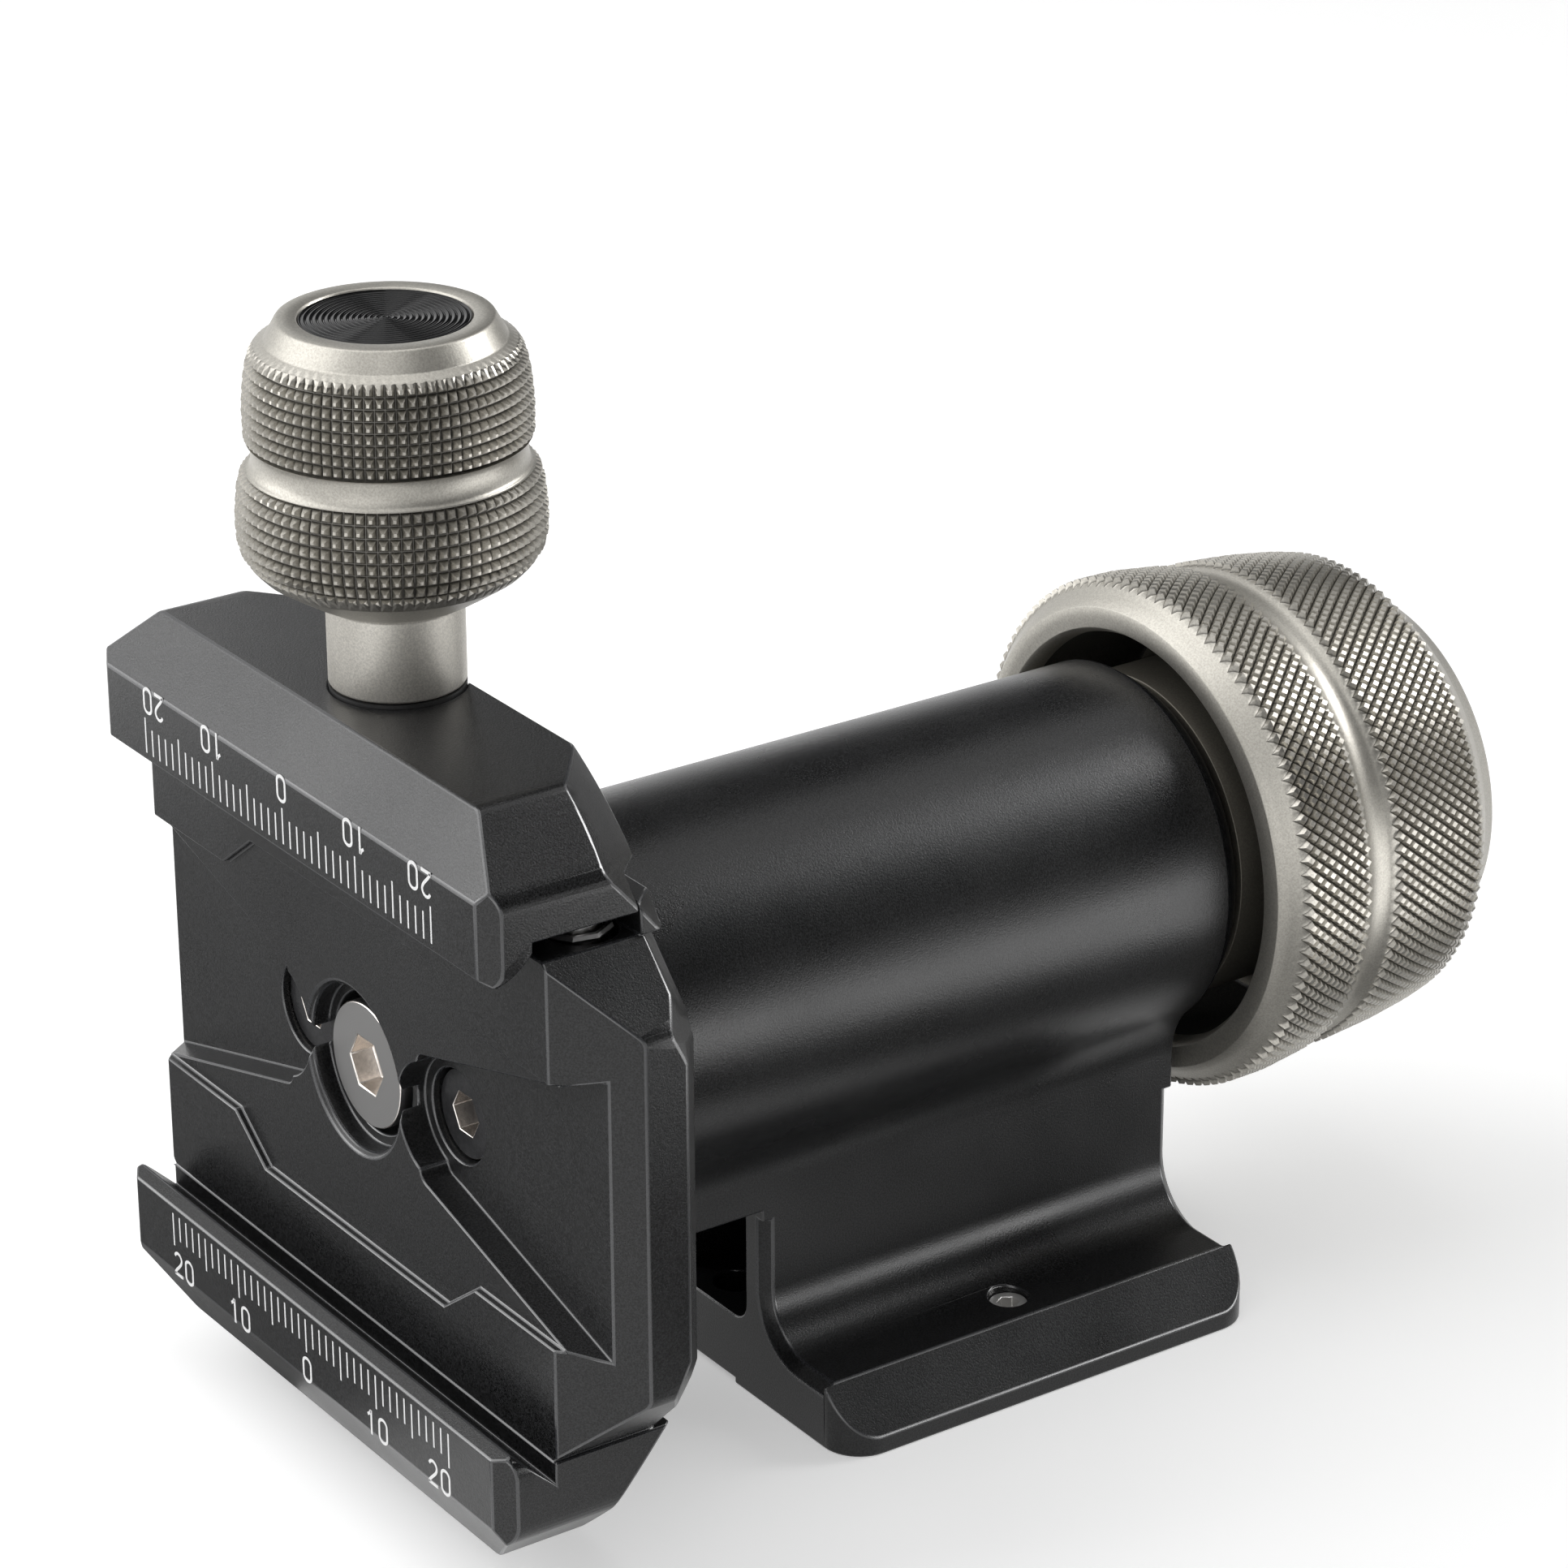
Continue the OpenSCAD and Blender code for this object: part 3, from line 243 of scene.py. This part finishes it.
def cells(rows, columns, lean, closed):
    """Two triangles for each cell of a grid of rings, split along the diagonal that lean names for it.
    The last ring joins the first one where closed is true."""
    i, k = np.meshgrid(np.arange(rows if closed else rows - 1), np.arange(columns), indexing="ij")
    low, high, beside = i * columns, (i + 1) % rows * columns, (k + 1) % columns
    a, b, c, d = low + k, low + beside, high + beside, high + k
    lean = np.broadcast_to(lean, a.shape)
    one = np.where(lean, [a, b, c], [a, b, d])
    two = np.where(lean, [a, c, d], [b, c, d])
    return np.stack([one, two], -1).transpose(1, 2, 3, 0).reshape(-1, 3)


def per_face(rows_value, columns):
    """A value of each row of cells, repeated for its faces."""
    return np.repeat(np.asarray(rows_value), 2 * columns)


def round_upright(radius, height, turn):
    """Point (i, k) stands radius[i, k] from the clamp knob's axis, at the angle turn[k] and the height of
    row i."""
    flat = np.broadcast_to(height, radius.shape)
    return np.stack([radius * np.sin(turn), KNOB_Y + radius * np.cos(turn), flat], -1).reshape(-1, 3)


def round_tilt(radius, along, turn):
    """Point (i, k) stands radius[i, k] from the tilt axis, at the angle turn[k] and the y of row i."""
    flat = np.broadcast_to(along, radius.shape)
    return np.stack([radius * np.cos(turn), flat, radius * np.sin(turn)], -1).reshape(-1, 3)


def wave(share):
    """0 at whole numbers, where a groove runs, and 1 half-way between them, at a tooth's middle."""
    return 1 - np.abs(2 * (share - np.floor(share)) - 1)


def bevelled(node, name, body, materials, width, socket=None):
    """A merged copy of a CAD node with its sharp edges broken by a bevel of the given width, in millimetres,
    that has the last material. Faces with a slight bend to a neighbour are shaded smooth, and those whose
    middle passes the test socket get the last material too."""
    merge, segments = 2e-7, 2
    flat, bend, sharp = (math.radians(angle) for angle in (0.3, 0.5, 24))
    mesh = frame["nodes"][node].data.copy()
    mesh.materials.clear()
    for material in materials:
        mesh.materials.append(material)
    tidy = bmesh.new()
    tidy.from_mesh(mesh)
    bmesh.ops.remove_doubles(tidy, verts=tidy.verts, dist=merge)
    bmesh.ops.dissolve_limit(
        tidy, angle_limit=flat, verts=tidy.verts, edges=tidy.edges, use_dissolve_boundaries=False
    )
    # A bevel on faces with many corners leaves slits, so they are split first
    bmesh.ops.triangulate(tidy, faces=[f for f in tidy.faces if len(f.verts) > 4])
    for face in tidy.faces:
        face.smooth = any(bend < e.calc_face_angle(0) < sharp for e in face.edges)
        face.material_index = 0
    edges = [e for e in tidy.edges if len(e.link_faces) == 2 and e.calc_face_angle(0) > sharp]
    broken = bmesh.ops.bevel(
        tidy, geom=edges, offset=width * MM, offset_type="OFFSET", segments=segments, profile=0.5,
        affect="EDGES", clamp_overlap=False, material=len(materials) - 1,
    )
    for face in broken["faces"]:
        face.smooth = True
    for face in tidy.faces:
        if socket and socket(*in_head(face.calc_center_median())):
            face.material_index = len(materials) - 1
    tidy.to_mesh(mesh)
    tidy.free()
    if "custom_normal" in mesh.attributes:
        mesh.attributes.remove(mesh.attributes["custom_normal"])
    made = bpy.data.objects.new(name, mesh)
    bpy.context.scene.collection.objects.link(made)
    even = made.modifiers.new("even", "WEIGHTED_NORMAL")
    even.keep_sharp = True
    return dressed(made, body, (node,))


def in_socket(front, back, reach, axis_x=0.0):
    """A test that is true for points between two values of y and within reach of a screw's axis, which is
    axis_x to either side of the middle."""
    return lambda x, y, z: front < y < back and math.hypot(abs(x) - axis_x, z) < reach


# Clamp knob


def clamp_knob():
    """Radius = the lesser of the body's turned radius and the teeth's tip radius less the knurl's depth
    times the deeper of an upright groove, from the angle, and a level groove, from the height. The grooves
    run out by themselves where the body's cone drops below their floor."""
    columns, rows, depth = 80, 7, 0.55
    low_band, high_band = (39.17, 45.35), (47.57, 53.31)
    neck_top = 35.5
    # A groove's flank goes from floor to top, as shares of the pitch. cut is 1 in a groove and 0 on a tooth
    floor, top = 0.03, 0.37
    steps = np.array([floor, top, 1 - top, 1 - floor])
    cut = 1 - np.clip((wave(steps) / 2 - floor) / (top - floor), 0, 1)
    turn = (np.arange(columns)[:, None] + steps).ravel() * TURN / columns
    upright = np.tile(cut, columns)

    # Turned outline from the neck's foot to the cap's recess: height and radius
    lower = [(29.25, 3.02), (29.25, 4.62), (29.33, 4.8), (29.5, 4.9), (35.2, 4.9), (35.4, 4.97)]
    lower += [(35.6, 5.25), (35.75, 5.75), (36.1, 6.4), (37.0, 7.85), (37.9, 9.24)]
    low_tips = [(38.0, 9.3), (39.17, 10.5), (40.3, 10.84), (41.4, 10.9), (42.4, 10.88), (44.15, 10.7)]
    low_tips += [(45.35, 10.36)]
    waist = [(45.4, 10.1), (45.46, 9.86), (45.7, 9.72), (46.1, 9.62), (46.55, 9.6), (47.0, 9.63)]
    waist += [(47.35, 9.72), (47.5, 9.82), (47.54, 9.94)]
    high_tips = [(47.57, 10.08), (49.9, 10.12), (51.8, 9.96), (53.31, 9.68), (54.2, 9.16)]
    crown = [(54.25, 9.06), (54.56, 8.5), (54.6, 8.42), (54.68, 8.36), (55.97, 7.64), (56.06, 7.56)]
    crown += [(56.1, 7.42), (56.1, 6.2), (56.02, 6.06), (54.9, 6.04), (54.9, 5.02), (49.9, 5.02), (49.9, 3.02)]
    # The same past the bands' ends, where the teeth run out into points: height, body radius, tip radius
    low_points = [(38.0, 9.38, 10.24), (38.55, 9.92, 10.36), (38.9, 10.2, 10.44)]
    high_points = [(53.6, 9.56, 9.68), (53.9, 9.38, 9.66), (54.2, 9.16, 9.64)]

    def smooth(points):
        """Rows of the plain turned body: height, body radius, tip radius, level groove, toothed or not."""
        return [(z, r, r, 0, 0) for z, r in points]

    def pointed(points):
        """Rows with upright grooves only."""
        return [(z, r, tip, 0, 1) for z, r, tip in points]

    def band(tips, low, high):
        """Rows of one band: full level grooves between its teeth, and one at each end."""
        pitch = (high - low) / rows
        heights = low + pitch * (np.arange(rows)[:, None] + steps).ravel()
        heights = np.concatenate([[low - floor * pitch], heights, [high + floor * pitch]])
        levels = np.concatenate([[1], np.tile(cut, rows), [1]])
        tip = np.interp(heights, *zip(*tips))
        return list(zip(heights, tip, tip, levels, np.ones(len(heights))))

    outline = smooth(lower) + pointed(low_points) + band(low_tips, *low_band) + smooth(waist)
    outline += band(high_tips, *high_band) + pointed(high_points) + smooth(crown)
    heights, body, tip, level, ridged = np.array(outline, float).T[:, :, None]
    ridged = ridged > 0
    groove = np.maximum(upright, level)
    radius = np.where(ridged, np.minimum(body, tip - depth * groove), body)
    # Each cell is split along its higher diagonal, so the teeth keep their edges
    far = np.roll(radius, -1, 0)
    lean = radius + np.roll(far, -1, 1) >= np.roll(radius, -1, 1) + far
    # The neck's material is the lighter champagne copy that paints light on it
    plain, knurled, neck = 0, 1, 2
    teeth = per_face((ridged | np.roll(ridged, -1, 0))[:, 0], len(turn))
    turned = per_face(np.where(heights < neck_top, neck, plain)[:, 0], len(turn))
    # height drives the painted shade in the knurl's grooves
    piece(
        "clamp_knob_knurled", round_upright(radius, heights, turn), cells(len(heights), len(turn), lean, True),
        "clamp_knob", [CHAMPAGNE, KNURL, NECK_PAINTED_LIGHT], paint=np.where(teeth, knurled, turned), smooth=~teeth,
        stands_for=("clamp_knob",), height=np.where(ridged & (radius < body), 1 - groove, 1),
    )


def clamp_cap():
    """Height = the cap's top less a fine round ripple of the radius: fourteen turned rings."""
    rings, samples, columns = 14, 8, 128
    edge, top, ripple = 5.8, 55.98, 0.1
    radius = np.linspace(0, edge, rings * samples + 1)
    height = top - ripple * (1 - np.abs(np.sin(math.pi * rings * radius / edge)))
    radius = np.concatenate([radius, [5.9, 5.98, 5.98, 0]])
    height = np.concatenate([height, [56.0, 55.94, 54.94, 54.94]])
    turn = np.arange(columns) * TURN / columns
    grid = np.broadcast_to(radius[:, None], (len(radius), columns))
    piece(
        "clamp_knob_cap_ringed", round_upright(grid, height[:, None], turn),
        cells(len(radius), columns, True, False), "clamp_knob", [CAP], stands_for=("clamp_knob_cap",),
    )


# Tilt knob


def tilt_knob():
    """Radius = the floor of the grooves, which is the turned body or a depth below the line of the tips, plus
    the height of a tooth. Two families of slanting grooves, share + row and share - row at whole numbers,
    cut the bands into diamonds with flat tops, and a band keeps whole diamonds only."""
    teeth, pitch, depth, start = 118, 1.29, 0.42, 77.5
    # Share of the pitch that a groove's flank takes, steps in a pitch, and the height that counts as a tooth
    flank, per_pitch, raised = 0.25, 4, 0.01
    columns = per_pitch * teeth
    share = np.arange(columns)[None] / per_pitch
    # Turned outline from the insert's seat, round the front ring, to the cap's recess: y and radius
    hub = [(93.5, 8.02), (77.4, 8.02), (77.4, 12.0), (76.4, 12.0), (76.35, 12.1), (76.35, 13.26)]
    hub += [(76.4, 13.3), (87.6, 13.3), (88.0, 13.5)]
    cup = [(88.0, 16.1), (87.8, 16.38), (82.28, 16.4), (82.18, 16.5), (77.3, 16.53), (76.4, 16.55)]
    front = [(75.56, 17.0), (75.5, 17.08), (75.5, 18.66), (75.54, 18.76), (76.3, 19.4)]
    waist = [(84.0, 19.66), (84.3, 19.44), (84.64, 19.32), (85.1, 19.2), (85.5, 19.17), (86.0, 19.24)]
    waist += [(86.3, 19.36)]
    cone = [(97.2, 17.75), (97.6, 17.35), (99.2, 15.72), (99.45, 15.48), (100.5, 14.92), (100.8, 14.74)]
    cone += [(100.9, 14.5)]
    back = [(100.9, 11.2), (100.84, 11.06), (99.7, 11.04), (99.7, 9.0), (93.5, 9.0)]
    # Turned body that the bands' ends run out on, and the line of the teeth's tips
    turned = [(75.5, 18.7), (76.3, 19.4), (76.9, 20.0), (77.35, 20.42), (77.8, 20.7), (80.07, 20.71)]
    turned += [(83.3, 20.32), (83.65, 20.2)] + waist + [(86.6, 19.56), (86.9, 19.9), (87.18, 19.94)]
    turned += [(91.2, 19.59), (94.55, 19.09), (96.3, 18.55), (97.2, 17.75)]
    tips = [(76.5, 20.78), (80.07, 20.72), (83.8, 20.25), (87.18, 19.94), (91.2, 19.59), (94.55, 19.09)]
    tips += [(97.5, 18.42)]
    # First and last step of each band, and first and last of its whole diamonds
    band_steps, band_diamonds = ((-2, 20), (28, 60)), ((0, 9), (15, 29))

    def smooth(points):
        """Rows of the plain turned body: y, radius, toothed or not."""
        return [(y, r, 0) for y, r in points]

    def band(first, last):
        """Rows of a band: y and the floor of its grooves."""
        along = start + pitch * np.arange(first, last + 1) / per_pitch
        floor = np.minimum(np.interp(along, *zip(*turned)), np.interp(along, *zip(*tips)) - depth)
        return list(zip(along, floor, np.ones(len(along))))

    outline = smooth(hub + cup + front) + band(*band_steps[0]) + smooth(waist) + band(*band_steps[1])
    outline += smooth(cone + back)
    along, floors, ridged = np.array(outline, float).T[:, :, None]
    ridged = ridged > 0
    row = np.where(ridged, (along - start) / pitch, 0)
    one, two = share + row, share - row
    tiny = 1e-6
    diamond = np.floor(one + tiny) - np.floor(two + tiny)
    kept = ridged & np.any([(first <= diamond) & (diamond <= last) for first, last in band_diamonds], 0)
    tooth = np.clip(np.minimum(wave(one), wave(two)) / 2 / flank, 0, 1) * kept
    radius = floors + depth * tooth
    # Between two toothed rows a cell is split along the groove that is nearer to its middle
    between = (row + np.roll(row, -1, 0)) / 2
    centre = share + 1 / (2 * per_pitch)
    cut = ridged & np.roll(ridged, -1, 0)
    lean = np.where(cut, wave(centre - between) < wave(centre + between), True)
    # Height of the teeth at the corners of each face: one with none is plain body
    a, b = tooth, np.roll(tooth, -1, 1)
    c, d = np.roll(b, -1, 0), np.roll(a, -1, 0)
    peak = np.stack([a + b + np.where(lean, c, d), c + d + np.where(lean, a, b)], -1)
    marks = ((peak > raised) & cut[:, :, None]).ravel()
    # The hub's face and side get a darker brown copy of the champagne, and the cup behind the front ring is
    # near black up to its lip: painted shade inside the knob's recess
    plain, knurled, bore, shaded_hub = 0, 1, 2, 3
    order = np.arange(len(along))
    paint = np.where(marks, knurled, plain)
    paint[per_face((order >= len(hub)) & (order < len(hub + cup) - 2), columns)] = bore
    paint[per_face((order >= 2) & (order < len(hub)), columns)] = shaded_hub
    piece(
        "tilt_knob_knurled", round_tilt(radius, along, share[0] * TURN / teeth),
        cells(len(along), columns, lean, True), "tilt_knob", [CHAMPAGNE, KNURL, BORE_PAINTED_SHADE, HUB_PAINTED_SHADE], paint=paint,
        smooth=~marks, stands_for=("tilt_knob",), height=tooth,
    )


# Scales


def ribbon(path, width):
    """A flat band of the given width along a path: each point is moved both ways along the path's normal."""
    path = np.array(path, float)
    ahead = np.gradient(path, axis=0)
    ahead /= np.linalg.norm(ahead, axis=1)[:, None]
    side = np.stack([-ahead[:, 1], ahead[:, 0]], -1) * width / 2
    return path + side, path - side


def arc(centre, radii, start, end, count=14):
    """Points of an ellipse's arc, the angles in degrees."""
    angle = np.radians(np.linspace(start, end, count))
    return np.stack([centre[0] + radii[0] * np.cos(angle), centre[1] + radii[1] * np.sin(angle)], -1)


def figure(digit):
    """The strokes of a figure in a box 1 wide and 2 high, each as points."""
    if digit == "0":
        top, bottom = arc((0.5, 1.5), (0.42, 0.44), 0, 180), arc((0.5, 0.5), (0.42, 0.44), 180, 360)
        return [np.concatenate([top, bottom, [[0.92, 1.5]]])]
    if digit == "1":
        tip, stem = [[0.16, 1.5], [0.36, 1.66], [0.5, 1.94]], [[0.55, 2.0], [0.55, 1.0], [0.55, 0.0]]
        return [np.array(tip), np.array(stem)]
    bow = arc((0.5, 1.48), (0.4, 0.46), 165, -25)
    tail = [[0.78, 1.1], [0.55, 0.8], [0.3, 0.5], [0.12, 0.25], [0.06, 0.08]]
    return [np.concatenate([bow, tail]), np.array([[0.02, 0.08], [0.5, 0.08], [0.98, 0.08]])]


def scale(name, body, side):
    """Ticks every millimetre and figures every ten, as flat inlays just proud of a scale face.
    side is -1 on the fixed jaw and 1 on the moving jaw, whose marks are the same, turned end for end."""
    last = 20
    thick, proud, tick_w, stroke = 0.06, 0.012, 0.17, 0.24
    tick_top, tick, long_tick = -19.0, 2.07, 2.77
    width, gap, tall, foot = 1.28, 0.42, 2.0, -24.24
    leftmost, rightmost = -20.16, 20.1
    points, faces = [], []

    def inlay(left, right):
        """Closed slab between two edges of the same number of points."""
        count, start = len(left), sum(map(len, points))
        rim = np.concatenate([left, right])
        front = np.stack([rim[:, 0], np.full(2 * count, -proud), rim[:, 1]], -1)
        points.append(np.concatenate([front, front + (0, thick, 0)]))
        i = np.arange(count - 1)
        a, b, deep = i + start, i + count + start, 2 * count
        faces.append(np.stack([a, a + 1, b + 1, b], -1))
        faces.append(np.stack([a, b, b + 1, a + 1], -1) + deep)
        faces.append(np.stack([a, a + deep, a + 1 + deep, a + 1], -1))
        faces.append(np.stack([b, b + 1, b + 1 + deep, b + deep], -1))
        near, far = start + count, start + count - 1
        ends = [[start, near, near + deep, start + deep], [far, far + deep, far + count + deep, far + count]]
        faces.append(np.array(ends))

    def on_face(flat):
        """Flat figure points, upright below the tilt axis and turned half round above it."""
        return flat if side < 0 else -flat

    for x in range(-last, last + 1):
        length = long_tick if x % 5 == 0 else tick
        line = np.array([[x, tick_top], [x, tick_top - length / 2], [x, tick_top - length]])
        inlay(*ribbon(on_face(line), tick_w))
    for x in range(-last, last + 1, 10):
        text = str(abs(x))
        span = len(text) * width + (len(text) - 1) * gap
        left = max(leftmost, min(x - span / 2, rightmost - span))
        for number, digit in enumerate(text):
            corner = (left + number * (width + gap), foot)
            for line in figure(digit):
                inlay(*ribbon(on_face(line * (width, tall / 2) + corner), stroke))
    piece(name, np.concatenate(points), np.concatenate(faces), body, [PAINT], smooth=False)


# Pieces


clamp_knob()
clamp_cap()
tilt_knob()
scale("scale_marks_lower", "tilt", -1)
scale("scale_marks_upper", "jaw", 1)

# On the black parts the bevels take the last material, the lighter black that paints highlight along the edges
bevelled("arm_housing", "arm_housing_finished", "arm", [BLACK, BLACK_EDGE_PAINTED_HIGHLIGHT], 0.16)
bevelled("clamp_body", "clamp_body_finished", "tilt", [BLACK, BLACK_EDGE_PAINTED_HIGHLIGHT], 0.15)
bevelled("moving_jaw", "moving_jaw_finished", "jaw", [BLACK, BLACK_EDGE_PAINTED_HIGHLIGHT], 0.17)
bevelled(
    "centre_screw", "centre_screw_finished", "tilt", [STEEL, SOCKET], 0.1,
    socket=in_socket(6.06, 8, 2.32),
)
bevelled(
    "flange_screws", "flange_screws_finished", "tilt", [DARK_STEEL, SOCKET], 0.06,
    socket=in_socket(7.86, 9.4, 1.74, FLANGE_SCREW_X),
)
bevelled("base_set_screws", "base_set_screws_finished", "arm", [STEEL_Z], 0.08)
bevelled("tilt_knob_cap", "tilt_knob_cap_finished", "tilt_knob", [BLACK, BLACK_EDGE_PAINTED_HIGHLIGHT], 0.15)

# The CAD nodes that stay as they are get the finish of their slot
FINISH = {
    "polymer": POLYMER,
    "brass": BRASS,
    "blackened_steel": DARK_STEEL,
    "champagne": CHAMPAGNE,
    "anodised_black": BLACK,
}
for part in frame["record"]["subparts"]:
    kept = frame["nodes"][part["node"]]
    if not kept.hide_render:
        kept.data.materials.clear()
        kept.data.materials.append(FINISH.get(part["material_slot"], STEEL))


# Camera, light and floor


def camera():
    """The photograph's own view: a perspective camera fitted to the ticks of both scales. Its back axis points
    from the head to the camera, and the roll turns its right and up axes about that."""
    azimuth, elevation, roll = (math.radians(v) for v in (55.3632176, 23.5309978, -0.22898))
    place_m = (0.297893, -0.217505, 0.204354)
    across, away = math.cos(elevation) * math.sin(azimuth), math.cos(elevation) * math.cos(azimuth)
    back = Vector((across, -away, math.sin(elevation)))
    right = Vector((math.cos(azimuth), math.sin(azimuth), 0))
    up = back.cross(right)
    turned_right = right * math.cos(roll) + up * math.sin(roll)
    turned_up = up * math.cos(roll) - right * math.sin(roll)
    lens = bpy.data.cameras.new("view")
    lens.lens, lens.sensor_width = 121.21, 36
    lens.clip_start, lens.clip_end = 0.01, 10
    made = bpy.data.objects.new("view", lens)
    turn = Matrix((turned_right, turned_up, back)).transposed().to_4x4()
    made.matrix_world = Matrix.Translation(place_m) @ turn
    bpy.context.scene.collection.objects.link(made)
    bpy.context.scene.camera = made


def bearing(azimuth, elevation):
    """Unit direction at an azimuth from +X towards +Y, and an elevation, both in degrees."""
    a, e = math.radians(azimuth), math.radians(elevation)
    return Vector((math.cos(e) * math.cos(a), math.cos(e) * math.sin(a), math.sin(e)))


def lamp(name, azimuth, elevation, distance, size, brightness, gloss_only=False):
    """A soft lamp that faces the head's middle. Its power is its brightness, where 1 is white, times pi
    times its area. One that is for gloss only stands for a white card, and lights no floor."""
    data = bpy.data.lights.new(name, "AREA")
    data.shape, data.size, data.size_y = "RECTANGLE", size[0], size[1]
    data.energy = brightness * math.pi * size[0] * size[1]
    made = bpy.data.objects.new(name, data)
    toward = bearing(azimuth, elevation)
    made.location = MIDDLE + toward * distance
    made.rotation_mode = "QUATERNION"
    made.rotation_quaternion = toward.to_track_quat("Z", "Y")
    made.visible_camera = False
    made.visible_diffuse = not gloss_only
    bpy.context.scene.collection.objects.link(made)


def flag(name, azimuths, elevations, shade):
    """A grey card on a sphere round the head, out of the picture, that keeps the black finish black:
    the points of a grid of azimuths and elevations."""
    distance, steps = 1.1, 8
    turn = np.radians(np.linspace(*azimuths, steps))[:, None]
    rise = np.radians(np.linspace(*elevations, steps))[None]
    flat = np.broadcast_to(np.sin(rise), (steps, steps))
    grid = np.stack([np.cos(rise) * np.cos(turn), np.cos(rise) * np.sin(turn), flat], -1).reshape(-1, 3)
    i, k = np.meshgrid(np.arange(steps - 1), np.arange(steps - 1), indexing="ij")
    low = (i * steps + k).ravel()
    mesh = bpy.data.meshes.new(name)
    faces = np.stack([low, low + 1, low + steps + 1, low + steps], -1)
    mesh.from_pydata((np.array(MIDDLE) + grid * distance).tolist(), [], faces.tolist())
    card, shader = shell(name, (shade,) * 3, 0.9, specular=0.0)
    mesh.materials.append(card)
    made = bpy.data.objects.new(name, mesh)
    made.visible_camera = False
    bpy.context.scene.collection.objects.link(made)


def seen_rays(tree):
    """An output that is 1 for the camera's rays and for reflected and passed rays, and 0 for all others."""
    rays = tree.nodes.new("ShaderNodeLightPath").outputs
    seen = rays["Is Camera Ray"]
    for kind in ("Is Glossy Ray", "Is Transmission Ray"):
        either = tree.nodes.new("ShaderNodeMath")
        either.operation = "MAXIMUM"
        tree.links.new(seen, either.inputs[0])
        tree.links.new(rays[kind], either.inputs[1])
        seen = either.outputs[0]
    return seen


def surroundings():
    """White to the camera and in reflections, and plain pale light for everything else."""
    world = bpy.data.worlds.new("studio")
    world.use_nodes = True
    bpy.context.scene.world = world
    tree = world.node_tree
    link = tree.links.new
    level = node_of(tree, "ShaderNodeMapRange", To_Min=PLAIN, To_Max=1.0)
    link(seen_rays(tree), level.inputs["Value"])
    link(level.outputs["Result"], tree.nodes["Background"].inputs["Strength"])
    tree.nodes["Background"].inputs["Color"].default_value = (1, 1, 1, 1)


def floor():
    """A wide pale floor under the base, which keeps the head's shadow."""
    half = 6.0
    mesh = bpy.data.meshes.new("floor")
    corners = [(-half, -half, 0), (half, -half, 0), (half, half, 0), (-half, half, 0)]
    mesh.from_pydata(corners, [], [(0, 1, 2, 3)])
    made = bpy.data.objects.new("floor", mesh)
    bpy.context.scene.collection.objects.link(made)
    pale, shader = shell("pale_floor", (0.93, 0.93, 0.93), 0.9, specular=0.0)
    shader.inputs["Emission Color"].default_value = (1, 1, 1, 1)
    link = pale.node_tree.links.new
    level = node_of(pale.node_tree, "ShaderNodeMapRange", To_Max=FLOOR_GLOW)
    link(seen_rays(pale.node_tree), level.inputs["Value"])
    link(level.outputs["Result"], shader.inputs["Emission Strength"])
    mesh.materials.append(pale)


def table_card(name, centre, radius, shade):
    """A round grey card just above the floor that only reflections show: painted shade that stands in for the
    floor's shadow near the head and gives the upright faces their depth. Points of its rim lie at equal
    angles."""
    count, height = 64, 0.0002
    turn = np.arange(count) * TURN / count
    x, y = centre[0] + radius * np.cos(turn), centre[1] + radius * np.sin(turn)
    mesh = bpy.data.meshes.new(name)
    mesh.from_pydata(np.stack([x, y, np.full(count, height)], -1).tolist(), [], [list(range(count))])
    grey, shader = shell(name, (shade,) * 3, 0.9, specular=0.0)
    mesh.materials.append(grey)
    made = bpy.data.objects.new(name, mesh)
    made.visible_camera = made.visible_diffuse = made.visible_shadow = made.visible_transmission = False
    bpy.context.scene.collection.objects.link(made)


camera()
surroundings()
floor()
# Grey cards that only reflections show: painted shade of the floor near the head
table_card("front_shade_card", (-0.07, -0.09), 0.07, 0.35)
table_card("right_shade_card", (0.13, 0.06), 0.115, 0.3)
# After the name: azimuth, elevation, distance, width and height, brightness
lamp("key", 236, 36, 0.65, (0.62, 0.72), 2.2)
lamp("back_strip", 76, 34, 0.7, (0.2, 0.3), 4.0)
lamp("back_card", 76, 34, 0.69, (0.22, 0.3), 9.0, gloss_only=True)
lamp("high_right", 336, 58, 0.65, (0.3, 0.3), 1.2)
lamp("top", 240, 86, 0.75, (0.4, 0.4), 1.2)
lamp("low_right", 33, -9, 0.15, (0.16, 0.036), 4.0, gloss_only=True)
lamp("low_floor", 38, -21, 0.088, (0.09, 0.022), 3.4, gloss_only=True)
lamp("front_low", 302, 4, 0.5, (0.4, 0.2), 1.4, gloss_only=True)
lamp("left_low", 229, 2, 0.6, (0.3, 0.22), 3.0, gloss_only=True)
# After the name: azimuths, elevations, shade
flag("flag_right", (-28, 58), (8, 66), 0.06)
flag("flag_back", (122, 153), (10, 62), 0.1)
flag("flag_low", (90, 122), (1, 24), 0.1)
bpy.context.scene.view_settings.view_transform = "Standard"
